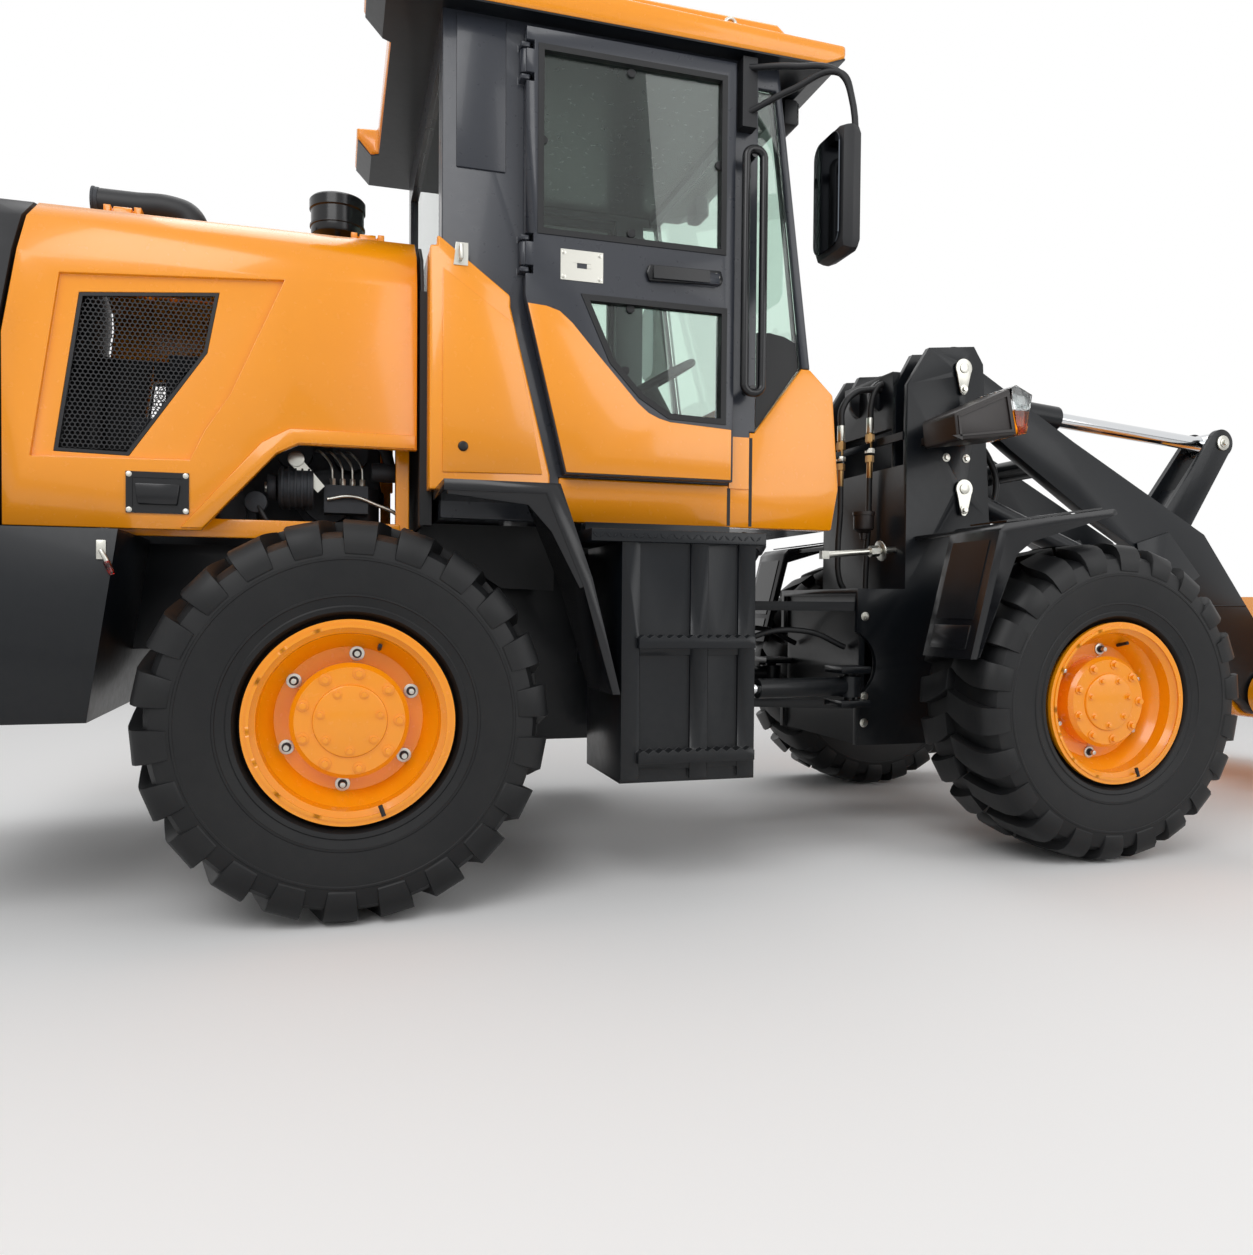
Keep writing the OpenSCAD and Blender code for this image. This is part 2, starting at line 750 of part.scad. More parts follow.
module front_lug(z) {
  hinge = pivot_x - wheelbase;
  side = waist * lug_r;
  slab(z, z + lug_t) difference() {
    union() {
      translate([hinge, 0]) circle(lug_r);
      polygon([[hinge, -side], [hinge + 165, -side], [-610, -tower_half + plate_t], [-610, tower_half - plate_t],
        [hinge + 165, side], [hinge, side]]);
    }
    translate([hinge, 0]) circle(d = pivot_d + 2 * pin_gap);
  }
}

module front_chassis() {
  inner = tower_half - plate_t;
  cheek = arm_y - arm_t / 2 - 14;
  color("#23262c") place_front() {
    union() {
      both_sides() {
        plate(-tower_half, -inner) tower_outline();
        plate(-cheek, -cheek + plate_t) polygon([[-410, 1180], [-70, 1180], [-98, 1800], [-140, tower_z],
          [-340, tower_z - 20], [-410, 1720]]);
      }
      box([-610, -inner, 335], [-585, inner, 925]);
      box([-430, -inner, 925], [-405, inner, 1400]);
      box([-630, -inner, 900], [-405, inner, 925]);
      box([-585, -inner, 335], [-230, inner, 360]);
      box([-210, -inner, 735], [190, inner, 760]);
      box([-410, -cheek + plate_t, 1560], [-370, cheek - plate_t, 1780]);
      both_sides() plate(-90, -65) strap([-380, tilt_base[1] - 40], tilt_base, 70, 62);
      front_lug(upper_lug_z - lug_t - run_gap);
      front_lug(lower_lug_z + lug_t + run_gap);
      both_sides() box([-730, -steer_front[1] - 50, steer_z - 75], [-610, -260, steer_z - 50]);
      both_sides() box([-730, -steer_front[1] - 50, steer_z + 50], [-610, -260, steer_z + 75]);
      both_sides() {
        cross([arm_x, arm_z], pin_d / 2, -tower_half - 10, -cheek + plate_t);
        cross(lift_base, pin_d / 2, -tower_half - 10, -cheek + plate_t);
        translate([steer_front[0], -steer_front[1], steer_z - 60]) cylinder(r = 22, h = 120);
      }
      cross(tilt_base, pin_d / 2, -95, 95);
    }
  }
}

module front_axle() { color("#2c2f35") axle(wheelbase, 660); }

module front_fenders() {
  outer = track / 2 + tyre_w / 2 - 40;
  inner = cab_w / 2 + 15;
  color("#1b1c1f") place_front() both_sides() {
    plate(-outer, -inner) polygon([[-565, 690], [-541, 690], [-438, 1082], [-422, 1098], [-30, 1160], [0, 1172],
      [0, 1182], [-14, 1190], [-440, 1128], [-463, 1104]]);
    plate(-outer + 3, -outer + 11) polygon([[-552, 695], [-528, 695], [-392, 1030], [-335, 1072], [-8, 1168], [-8, 1180],
      [-431, 1115], [-452, 1092]]);
    plate(-inner - 12, -tower_half) polygon([[-390, 1110], [-250, 1132], [-250, 1148], [-390, 1126]]);
  }
}

module headlights() {
  color("#1d1a19") place_front() both_sides() {
    box([-370, -400, 1470], [-310, -tower_half, 1500]);
    plate(-600, -390) polygon([[-415, 1540], [-400, 1447], [-105, 1485], [-82, 1630], [-154, 1662]]);
  }
}

// Wheels

// Carcass with two rows of slanted lugs, half a pitch apart, that run over the shoulders
module tyre(x, y) {
  r = tyre_od / 2;
  w = tyre_w / 2;
  half = [[seat_r + pin_gap, 140], [flange_d / 2 + 8, 150], [flange_d / 2 + 18, w - 25], [r * 0.72, w - 4],
    [r * 0.8, w - 2], [r * 0.87, w - 9], [r - lug_depth - 20, w - 24], [r - lug_depth - 6, w - 60],
    [r - lug_depth, w - 130]];
  whole = concat(half, [for (i = [len(half) - 1:-1:0]) [half[i][0], -half[i][1]]]);
  lug = [[r - 60, 6], [r, 6], [r, w - 115], [r - 5, w - 65], [r - 18, w - 23], [r - 42, w - 6], [r - 75, w],
    [r - 95, w], [r - 95, w - 40], [r - 60, w - 60]];
  place() translate([x, y, axle_z]) {
    rotate([90, 0, 0]) rotate_extrude($fn = 96) polygon(whole);
    for (row = [0, 1], i = [0:lug_count - 1]) rotate([0, 90 + (i + row / 2) * 360 / lug_count, 0])
      mirror([0, row, 0]) rotate([lug_slant, 0, 0]) translate([0, 0, -lug_w / 2]) linear_extrude(lug_w) polygon(lug);
  }
}

// Rim, drawn for the right side: the flange's outer plane is at the low y side
module rim(x, right) {
  f = flange_d / 2;
  section = [[stub_d / 2 + pin_gap, disc_in + disc_t], [seat_r - 18, disc_in + disc_t], [seat_r - 18, rim_w - 20],
    [f, rim_w], [f, rim_w - 14], [seat_r, rim_w - 26], [seat_r, 26], [f, 14], [f, 0], [f - 14, 0],
    [seat_r - 18, 20], [seat_r - 22, 60], [hub_d / 2 + 40, disc_in], [hub_d / 2, disc_in], [hub_d / 2, hub_face + 12],
    [hub_d / 2 - 12, hub_face], [0, hub_face], [0, disc_in - 30], [stub_d / 2 + pin_gap, disc_in - 30]];
  s = right ? 1 : -1;
  place() translate([x, -s * (track / 2 + rim_w / 2), axle_z]) rotate([-90 * s, 0, 0]) rotate_extrude($fn = 96)
    polygon(section);
}

module tyre_rear_right() { color("#2b2d30") tyre(0, -track / 2); }
module tyre_rear_left() { color("#2b2d30") tyre(0, track / 2); }
module tyre_front_right() { color("#2b2d30") tyre(wheelbase, -track / 2); }
module tyre_front_left() { color("#2b2d30") tyre(wheelbase, track / 2); }
module rim_rear_right() { color("#f59a0c") rim(0, true); }
module rim_rear_left() { color("#f59a0c") rim(0, false); }
module rim_front_right() { color("#f59a0c") rim(wheelbase, true); }
module rim_front_left() { color("#f59a0c") rim(wheelbase, false); }

// Loader arms

module arm_outline() {
  translate([arm_x, arm_z]) circle(boss_r);
  translate([tip_x, tip_z]) circle(boss_r);
  polygon([[arm_x - 20, arm_z + 85], [367, 1533], [1051, 1176], [1331, 824], [tip_x + 84, tip_z + 40],
    [tip_x - 60, tip_z - 70], [950, 760], [870, 930], [745, 1075], [400, 1270], [64, 1485], [arm_x - 40, arm_z - 82]]);
}

module boom() {
  half = arm_y - arm_t / 2;
  cheek = 12;
  color("#23262c") place_front() difference() {
    union() {
      both_sides() {
        plate(-arm_y - arm_t / 2, -half) arm_outline();
        for (y = [arm_y + arm_t / 2 + cheek, half]) plate(-y, -y + cheek) translate(lift_eye) {
          circle(75);
          polygon([[-60, 0], [-105, 190], [60, 240], [230, 60], [60, -60]]);
        }
        cross(lift_eye, pin_d / 2 + 6, -arm_y - arm_t / 2 - cheek - 12, -arm_y - arm_t / 2 - cheek);
      }
      cross(lever_pivot, 70, -half, -lever_half - run_gap);
      cross(lever_pivot, 70, lever_half + run_gap, half);
      cross(lever_pivot, pin_d / 2, -lever_half - 6, lever_half + 6);
      cross([310, 1450], 45, -half, half);
      both_sides() cross([tip_x, tip_z], pin_d / 2, -arm_y - arm_t / 2 - 45, -half + 45);
    }
    both_sides() {
      cross([arm_x, arm_z], pin_d / 2 + pin_gap, -arm_y - arm_t, -half + 10);
      plate(-arm_y - arm_t / 2, -half) translate(lift_eye) circle(140);
    }
  }
}

module lift_barrels() {
  u = toward(lift_base, lift_eye);
  color("#2a2d32") place_front() both_sides() difference() {
    union() {
      cross(lift_base, 52, -arm_y - 28, -arm_y + 28);
      rod(lift_base + 40 * u, lift_base + 90 * u, 34, -arm_y);
      rod(lift_base + 80 * u, lift_base + 790 * u, lift_d / 2 - 8, -arm_y);
    }
    cross(lift_base, pin_d / 2 + pin_gap, -arm_y - 60, -arm_y + 60);
    rod(lift_base + 100 * u, lift_eye, lift_rod_r + pin_gap, -arm_y);
  }
}

module lift_rods() {
  u = toward(lift_base, lift_eye);
  color("#c9ccd0") place_front() both_sides() {
    cross(lift_eye, 50, -arm_y - 26, -arm_y + 26);
    rod(lift_base + 206 * u, lift_eye - 30 * u, lift_rod_r, -arm_y);
  }
}

module tilt_barrel() {
  u = toward(tilt_base, lever_top);
  color("#2a2d32") place_front() difference() {
    union() {
      cross(tilt_base, 58, -60, 60);
      rod(tilt_base + 40 * u, tilt_base + 95 * u, 40, 0);
      rod(tilt_base + 80 * u, tilt_base + 745 * u, tilt_d / 2, 0);
    }
    cross(tilt_base, pin_d / 2 + pin_gap, -100, 100);
    rod(tilt_base + 120 * u, lever_top, tilt_rod_r + pin_gap, 0);
  }
}

module tilt_rod() {
  u = toward(tilt_base, lever_top);
  color("#c9ccd0") place_front() {
    cross(lever_top, 52, -link_half, link_half);
    rod(tilt_base + 560 * u, lever_top - 30 * u, tilt_rod_r, 0);
  }
}

module lever() {
  color("#23262c") place_front() difference() {
    union() {
      both_sides() plate(-lever_half, -lever_half + plate_t) {
        strap(lever_pivot, lever_top, 95, 62);
        strap(lever_pivot, lever_low, 95, 65);
      }
      cross(lever_pivot, 80, -lever_half + 5, lever_half - 5);
      cross(lever_low, pin_d / 2, -lever_half - 8, lever_half + 8);
    }
    cross(lever_pivot, pin_d / 2 + pin_gap, -200, 200);
  }
}

module link() {
  color("#23262c") place_front() difference() {
    plate(-link_half, link_half) strap(lever_low, bucket_pin, 60, 56);
    cross(lever_low, pin_d / 2 + pin_gap, -100, 100);
  }
}

// Side plate's outline, whose edge ends inside the thickness of the bent plate
module bucket_side() {
  sunk = 0.7 * bucket_t;
  back = bucket_back + sunk;
  low = bucket_floor + sunk;
  translate([heel_x, heel_z]) circle(bucket_r - bucket_t / 2);
  polygon([[back, heel_z], [back, bucket_top], [bucket_back + 80, bucket_top + 92], [bucket_back + 330, bucket_top - 10],
    [bucket_reach - 160, -60], [bucket_reach - 80, low], [heel_x, low]]);
}

// Bent plate in section: back wall, curved heel, floor and the leaning guard on top
module bucket_shell() {
  difference() {
    translate([heel_x, heel_z]) circle(bucket_r);
    translate([heel_x, heel_z]) circle(bucket_r - bucket_t);
    translate([heel_x, bucket_floor - 1]) square([2 * bucket_r, 2 * bucket_r + 2]);
    translate([bucket_back - 1, heel_z]) square([2 * bucket_r, 2 * bucket_r]);
  }
  translate([heel_x, bucket_floor]) square([bucket_reach - edge_w - heel_x, bucket_t]);
  translate([bucket_back, heel_z]) square([bucket_t, bucket_top - heel_z]);
  polygon([[bucket_back, bucket_top], [bucket_back + bucket_t, bucket_top],
    [bucket_back + 88, bucket_top + 90], [bucket_back + 70, bucket_top + 100]]);
}

module bucket() {
  half = bucket_w / 2;
  gap = arm_t / 2 + 14;
  sunk_r = bucket_r - 0.4 * bucket_t;
  color("#f59a0c") place_front() translate([tip_x, 0, tip_z]) difference() {
    union() {
      plate(-half, half) bucket_shell();
      both_sides() plate(-half, -half + bucket_t) bucket_side();
      plate(-half, half) polygon([[bucket_reach - edge_w, bucket_floor], [bucket_reach, bucket_floor],
        [bucket_reach - 30, bucket_floor + edge_t], [bucket_reach - edge_w, bucket_floor + edge_t]]);
      both_sides() for (y = [arm_y - gap, arm_y + gap + plate_t]) plate(-y, -y + plate_t) {
        circle(ear_r);
        polygon(concat([[0, -waist * ear_r]], [for (a = [238:-19:181]) [heel_x, heel_z] + sunk_r * [cos(a), sin(a)]],
          [[heel_x - sunk_r, 300], [0, waist * ear_r]]));
      }
      both_sides() plate(-lever_half, -lever_half + plate_t) {
        translate(crank) circle(60);
        polygon([crank - [0, 57], [bucket_back + 5, heel_z], [bucket_back + 5, 290], crank + [0, 57]]);
      }
    }
    both_sides() cross([0, 0], pin_d / 2 + pin_gap, -arm_y - 120, -arm_y + 120);
    for (y = [-800, -300, 300, 800]) translate([bucket_reach - 110, y, bucket_floor - 1])
      cylinder(d = edge_hole_d, h = edge_t + 2);
  }
}

// Steering cylinders, drawn for the right side in plan

module along_steer(from, length, r) {
  a = heading(steer_front, steer_rear);
  translate([steer_front[0], -steer_front[1], steer_z]) rotate([0, 0, -a]) translate([from, 0, 0])
    rotate([0, 90, 0]) cylinder(r = r, h = length);
}

module steer_barrel() {
  place_front() difference() {
    union() {
      translate([steer_front[0], -steer_front[1], steer_z - 38]) cylinder(r = 42, h = 76);
      along_steer(30, 360, steer_d / 2);
    }
    translate([steer_front[0], -steer_front[1], steer_z - 60]) cylinder(r = 22 + pin_gap, h = 120);
    along_steer(60, 400, 18 + pin_gap);
  }
}

module steer_rod() {
  reach = span(steer_front, steer_rear);
  place_front() {
    along_steer(330, reach - 360, 18);
    translate([steer_rear[0], -steer_rear[1], steer_z - 30]) cylinder(r = 34, h = 60);
  }
}

module steer_barrel_right() { color("#2a2d32") steer_barrel(); }
module steer_barrel_left() { color("#2a2d32") mirror([0, 1, 0]) steer_barrel(); }
module steer_rod_right() { color("#c9ccd0") steer_rod(); }
module steer_rod_left() { color("#c9ccd0") mirror([0, 1, 0]) steer_rod(); }

rear_chassis();
rear_axle();
counterweight();
engine();
transmission();
hood_top();
rear_grille();
air_intake();
exhaust();
cab_sides();
cab_head();
cab_rear_wall();
cab_floor();
cab_front();
cowl();
roof();
cab_glass();
seat();
controls();
side_covers();
rear_fenders();
step_boxes();
filler_neck();
mirrors();
grab_rails();
lamps();
hinge_pins();
front_chassis();
front_axle();
front_fenders();
headlights();
tyre_rear_right();
rim_rear_right();
tyre_rear_left();
rim_rear_left();
tyre_front_right();
rim_front_right();
tyre_front_left();
rim_front_left();
boom();
lift_barrels();
lift_rods();
tilt_barrel();
tilt_rod();
lever();
link();
bucket();
steer_barrel_right();
steer_barrel_left();
steer_rod_right();
steer_rod_left();
door_right();
door_left();
door_glass_right();
door_glass_left();
hood_right();
hood_left();
grille_right();
grille_left();
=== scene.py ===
# %% [markdown]
# # A compact wheel loader
# The construction model gives every solid of the machine in metres, with +X forward, +Y to the operator's
# left and +Z up. This script loads that model as a fixed frame, gives each solid its finish and adds what a
# construction model leaves out: the tyres' tread, bolts, hoses, seals, meshes, lenses and trim.

# %% Load the frame
import math

import bmesh
import bpy
from mathutils import Matrix, Vector


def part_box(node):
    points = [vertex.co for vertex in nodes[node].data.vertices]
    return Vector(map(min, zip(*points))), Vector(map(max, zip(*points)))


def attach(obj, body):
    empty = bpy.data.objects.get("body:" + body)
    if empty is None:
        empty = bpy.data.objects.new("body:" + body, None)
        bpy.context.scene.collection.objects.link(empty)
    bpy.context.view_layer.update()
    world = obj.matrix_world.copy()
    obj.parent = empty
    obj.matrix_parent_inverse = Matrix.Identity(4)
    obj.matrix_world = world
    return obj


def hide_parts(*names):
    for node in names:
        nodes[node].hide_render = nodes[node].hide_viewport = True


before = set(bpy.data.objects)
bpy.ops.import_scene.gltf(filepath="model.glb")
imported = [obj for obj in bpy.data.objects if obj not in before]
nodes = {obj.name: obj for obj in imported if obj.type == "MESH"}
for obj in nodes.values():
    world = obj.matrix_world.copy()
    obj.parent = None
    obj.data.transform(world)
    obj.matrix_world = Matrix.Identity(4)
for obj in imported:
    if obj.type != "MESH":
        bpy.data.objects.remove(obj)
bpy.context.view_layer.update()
print("nodes loaded:", len(nodes))

# %% [markdown]
# Places on a machine are easiest to read as stations: so many millimetres forward of the rear axle, to the
# left of the middle and above the ground. The rear axle is found from the rear tyre's box, so the stations
# follow the frame.

# %% Stations
rear_low, rear_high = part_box("tyre_rear_right")
front_low, front_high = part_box("tyre_front_right")
REAR_X = (rear_low.x + rear_high.x) / 2
FRONT_X = (front_low.x + front_high.x) / 2
AXLE_Z = (rear_low.z + rear_high.z) / 2
TYRE_R = (rear_high.z - rear_low.z) / 2
TRACK_HALF = -(rear_low.y + rear_high.y) / 2
CAB_SIDE = 635
DOOR_FACE = 676
HOOD_SIDE = 600
TOWER_SIDE = 325


def at(x, y, z):
    """Point x mm forward of the rear axle, y mm to the left and z mm above the ground, in metres."""
    return Vector((REAR_X + x / 1000, y / 1000, z / 1000))


print("wheelbase in mm:", round((FRONT_X - REAR_X) * 1000))

# %% [markdown]
# ## Finishes
# Every finish is a small node tree. One function adds a node, sets its properties and links its inputs, and
# another turns a paint chart's sRGB hex value into the linear numbers that the renderer works in. Patterns
# use object coordinates, which are metres in the frame, so a scale is one over a real size in metres. IOR,
# metallic and roughness start from typical values for the material and are then matched to the object.

# %% Node and colour helpers


def linear(hex_colour):
    """An sRGB hex value as linear red, green, blue and alpha."""
    parts = [int(hex_colour[i:i + 2], 16) / 255 for i in (1, 3, 5)]
    return [c / 12.92 if c <= 0.04045 else ((c + 0.055) / 1.055) ** 2.4 for c in parts] + [1.0]


def add_node(tree, kind, attributes=None, inputs=None):
    """Adds a node. An input's value is a plain value or the output socket of another node."""
    node = tree.nodes.new(kind)
    for name, value in (attributes or {}).items():
        setattr(node, name, value)
    for name, value in (inputs or {}).items():
        if isinstance(value, bpy.types.NodeSocket):
            tree.links.new(value, node.inputs[name])
        else:
            node.inputs[name].default_value = value
    return node


def new_finish(name):
    """An empty material: its node tree, its surface shader and the coordinates its patterns use."""
    material = bpy.data.materials.new(name)
    material.use_nodes = True
    tree = material.node_tree
    tree.nodes.clear()
    shader = add_node(tree, "ShaderNodeBsdfPrincipled")
    add_node(tree, "ShaderNodeOutputMaterial", inputs={"Surface": shader.outputs["BSDF"]})
    place = add_node(tree, "ShaderNodeTexCoord").outputs["Object"]
    return material, tree, shader, place


# %% [markdown]
# Machine enamel is sprayed and air dried. It keeps a faint orange peel a few millimetres across, and a
# working coat is never one colour: it fades in broad soft patches and holds a little dust low down. One flat
# colour would make a large panel look like card, so noise of three sizes varies its tone, gloss and relief.
# The frame, arms and cab wear a satin paint of the same make, so one function serves the three with their own
# colour, gloss and depth of dust.

# %% Sprayed enamel
PEEL_MM = 3.0
PATCH_MM = 350.0
SPECK_MM = 22.0
DUST_HEIGHT_M = 0.9


def sprayed_enamel(name, hex_colour, faded_hex, roughness, coat, dust, ior=1.5):
    material, tree, shader, place = new_finish(name)
    patches = add_node(tree, "ShaderNodeTexNoise",
                       inputs={"Vector": place, "Scale": 1000 / PATCH_MM, "Detail": 4.0, "Roughness": 0.6})
    tone = add_node(tree, "ShaderNodeMix", {"data_type": "RGBA"},
                    {0: patches.outputs["Fac"], 6: linear(hex_colour), 7: linear(faded_hex)})
    height = add_node(tree, "ShaderNodeSeparateXYZ", inputs={"Vector": place}).outputs["Z"]
    low = add_node(tree, "ShaderNodeMapRange",
                   inputs={"Value": height, "From Min": DUST_HEIGHT_M, "From Max": 0.0, "To Min": 0.0,
                           "To Max": dust})
    specks = add_node(tree, "ShaderNodeTexNoise",
                      inputs={"Vector": place, "Scale": 1000 / SPECK_MM, "Detail": 6.0})
    film = add_node(tree, "ShaderNodeMath", {"operation": "MULTIPLY"},
                    {0: low.outputs["Result"], 1: specks.outputs["Fac"]})
    dusty = add_node(tree, "ShaderNodeMix", {"data_type": "RGBA"},
                     {0: film.outputs["Value"], 6: tone.outputs[2], 7: linear("#8C8579")})
    gloss = add_node(tree, "ShaderNodeMapRange",
                     inputs={"Value": specks.outputs["Fac"], "To Min": roughness - 0.05,
                             "To Max": roughness + 0.08})
    peel = add_node(tree, "ShaderNodeTexNoise",
                    inputs={"Vector": place, "Scale": 1000 / PEEL_MM, "Detail": 2.0})
    bump = add_node(tree, "ShaderNodeBump",
                    inputs={"Height": peel.outputs["Fac"], "Strength": 0.03, "Distance": 0.001})
    for socket, value in (("Base Color", dusty.outputs[2]), ("Roughness", gloss.outputs["Result"]),
                          ("Normal", bump.outputs["Normal"])):
        tree.links.new(value, shader.inputs[socket])
    shader.inputs["IOR"].default_value = ior
    shader.inputs["Coat Weight"].default_value = coat
    shader.inputs["Coat Roughness"].default_value = 0.08
    return material


orange_enamel = sprayed_enamel("orange_enamel", "#FA9C02", "#F29400", 0.24, 0.45, 0.06)
frame_enamel = sprayed_enamel("blue_black_enamel", "#0B0E12", "#101419", 0.30, 0.06, 0.06, 1.35)
cab_enamel = sprayed_enamel("graphite_enamel", "#2C2F36", "#32353C", 0.28, 0.15, 0.03, 1.42)
print("enamels:", orange_enamel.name, frame_enamel.name, cab_enamel.name)

# %% [markdown]
# Tyre rubber is moulded, and carbon makes it black: very dark, with little gloss, and with fine grain from
# the mould. Dust lies on it in patches as a thin grey film. Hoses are wrapped and seals extruded; to the eye
# they differ from the tyre in tone and gloss only, so they share its function.

# %% Moulded rubber
GRAIN_MM = 4.0
FILM_MM = 110.0


def moulded_rubber(name, hex_colour, dust_hex, roughness, dust, ior):
    material, tree, shader, place = new_finish(name)
    grain = add_node(tree, "ShaderNodeTexNoise",
                     inputs={"Vector": place, "Scale": 1000 / GRAIN_MM, "Detail": 5.0})
    film = add_node(tree, "ShaderNodeTexNoise",
                    inputs={"Vector": place, "Scale": 1000 / FILM_MM, "Detail": 8.0, "Roughness": 0.65})
    amount = add_node(tree, "ShaderNodeMapRange",
                      inputs={"Value": film.outputs["Fac"], "From Min": 0.42, "From Max": 0.75, "To Max": dust})
    tone = add_node(tree, "ShaderNodeMix", {"data_type": "RGBA"},
                    {0: amount.outputs["Result"], 6: linear(hex_colour), 7: linear(dust_hex)})
    bump = add_node(tree, "ShaderNodeBump",
                    inputs={"Height": grain.outputs["Fac"], "Strength": 0.12, "Distance": 0.002})
    tree.links.new(tone.outputs[2], shader.inputs["Base Color"])
    tree.links.new(bump.outputs["Normal"], shader.inputs["Normal"])
    shader.inputs["Roughness"].default_value = roughness
    shader.inputs["IOR"].default_value = ior
    return material


tyre_rubber = moulded_rubber("carbon_black_tyre_rubber", "#0F1012", "#262625", 0.50, 0.30, 1.38)
hose_rubber = moulded_rubber("wrapped_hose_rubber", "#17181A", "#2E2F31", 0.5, 0.3, 1.45)
# The seal rubber also serves for painted shade: a dark disc in the exhaust's mouth and a dark bar in each lock
# ring's split.
dark_rubber_and_painted_shade = moulded_rubber("extruded_rubber_also_painted_shade", "#141517", "#232427", 0.55, 0.3, 1.45)
print("rubbers:", tyre_rubber.name, hose_rubber.name, dark_rubber_and_painted_shade.name)

# %% [markdown]
# Grilles, housings and fenders are injection or vacuum moulded ABS. The matt ones have a leather-like mould
# grain of two millimetres, drawn as cells; the fenders are smooth and shine like a vacuum moulding. A slow
# cloud of gloss keeps their broad faces from looking computed.

# %% Moulded plastic
CLOUD_MM = 140.0


def moulded_plastic(name, hex_colour, roughness, grain_mm, depth):
    material, tree, shader, place = new_finish(name)
    grain = add_node(tree, "ShaderNodeTexVoronoi", inputs={"Vector": place, "Scale": 1000 / grain_mm})
    cloud = add_node(tree, "ShaderNodeTexNoise",
                     inputs={"Vector": place, "Scale": 1000 / CLOUD_MM, "Detail": 6.0})
    gloss = add_node(tree, "ShaderNodeMapRange",
                     inputs={"Value": cloud.outputs["Fac"], "To Min": roughness - 0.08,
                             "To Max": roughness + 0.1})
    tone = add_node(tree, "ShaderNodeHueSaturation",
                    inputs={"Color": linear(hex_colour), "Value": add_node(
                        tree, "ShaderNodeMapRange",
                        inputs={"Value": cloud.outputs["Fac"], "To Min": 0.85,
                                "To Max": 1.2}).outputs["Result"]})
    bump = add_node(tree, "ShaderNodeBump",
                    inputs={"Height": grain.outputs["Distance"], "Strength": depth, "Distance": 0.001})
    tree.links.new(tone.outputs["Color"], shader.inputs["Base Color"])
    tree.links.new(gloss.outputs["Result"], shader.inputs["Roughness"])
    tree.links.new(bump.outputs["Normal"], shader.inputs["Normal"])
    shader.inputs["IOR"].default_value = 1.44
    return material


matt_abs = moulded_plastic("grained_black_abs", "#191A1D", 0.5, 2.0, 0.12)
gloss_abs = moulded_plastic("vacuum_formed_black_abs", "#131417", 0.22, 6.0, 0.02)
lamp_abs = moulded_plastic("brown_black_lamp_abs", "#241F1E", 0.4, 2.0, 0.1)
print("plastics:", matt_abs.name, gloss_abs.name, lamp_abs.name)

# %% [markdown]
# Bare metals: hard chrome on the cylinder rods, pale zinc plate on keepers and bolts, brass on pipe fittings,
# the darkened silver of a mirror that doesn't dazzle, and painted cast iron on the engine. A metal keeps the
# shader's default IOR. Polishing, plating and casting leave grain of different sizes, which varies the
# roughness and the relief.

# %% Metals


def bare_metal(name, hex_colour, metallic, roughness, spread, grain_mm, depth):
    material, tree, shader, place = new_finish(name)
    grain = add_node(tree, "ShaderNodeTexNoise",
                     inputs={"Vector": place, "Scale": 1000 / grain_mm, "Detail": 6.0})
    gloss = add_node(tree, "ShaderNodeMapRange",
                     inputs={"Value": grain.outputs["Fac"], "To Min": max(0.03, roughness - spread),
                             "To Max": roughness + spread})
    bump = add_node(tree, "ShaderNodeBump",
                    inputs={"Height": grain.outputs["Fac"], "Strength": depth, "Distance": 0.001})
    tree.links.new(gloss.outputs["Result"], shader.inputs["Roughness"])
    tree.links.new(bump.outputs["Normal"], shader.inputs["Normal"])
    shader.inputs["Base Color"].default_value = linear(hex_colour)
    shader.inputs["Metallic"].default_value = metallic
    return material


hard_chrome = bare_metal("hard_chrome_plate", "#D9DBDD", 1.0, 0.08, 0.03, 30.0, 0.01)
zinc_plate = bare_metal("zinc_plated_steel", "#C9C8C0", 1.0, 0.32, 0.1, 6.0, 0.06)
brass = bare_metal("turned_brass", "#A68456", 1.0, 0.36, 0.10, 5.0, 0.04)
mirror_silver = bare_metal("tinted_mirror_silver", "#3E4247", 1.0, 0.06, 0.02, 30.0, 0.01)
cast_iron = bare_metal("painted_cast_iron", "#2E3136", 0.25, 0.58, 0.12, 3.0, 0.35)
print("metals:", hard_chrome.name, zinc_plate.name, brass.name, mirror_silver.name, cast_iron.name)

# %% [markdown]
# Cab glass is tempered float glass with a pale green tint. It is clear and smooth, so the tint is all that
# colours it, and a faint haze of dust breaks its reflections. Lamp lenses are clear, amber or red acrylic
# moulded with flutes. Flutes could be modelled, but they are so fine that a wave in the relief does the same.
# A wave of scale 1 repeats every tenth of pi, so its scale is that over the real spacing.

# %% Glass and lenses
HAZE_MM = 200.0
FLUTE_MM = 15.78
WAVE_PERIOD = math.pi / 10


def clear_sheet(name, hex_colour, ior, flute_mm):
    material, tree, shader, place = new_finish(name)
    shader.inputs["Base Color"].default_value = linear(hex_colour)
    shader.inputs["Transmission Weight"].default_value = 1.0
    shader.inputs["IOR"].default_value = ior
    if flute_mm:
        flutes = add_node(tree, "ShaderNodeTexWave", {"bands_direction": "Y"},
                          {"Vector": place, "Scale": 1000 * WAVE_PERIOD / flute_mm})
        bump = add_node(tree, "ShaderNodeBump",
                        inputs={"Height": flutes.outputs["Fac"], "Strength": 0.5, "Distance": 0.002})
        tree.links.new(bump.outputs["Normal"], shader.inputs["Normal"])
        shader.inputs["Roughness"].default_value = 0.05
    else:
        haze = add_node(tree, "ShaderNodeTexNoise",
                        inputs={"Vector": place, "Scale": 1000 / HAZE_MM, "Detail": 6.0})
        film = add_node(tree, "ShaderNodeMapRange",
                        inputs={"Value": haze.outputs["Fac"], "From Min": 0.4, "To Min": 0.0, "To Max": 0.03})
        tree.links.new(film.outputs["Result"], shader.inputs["Roughness"])
    return material


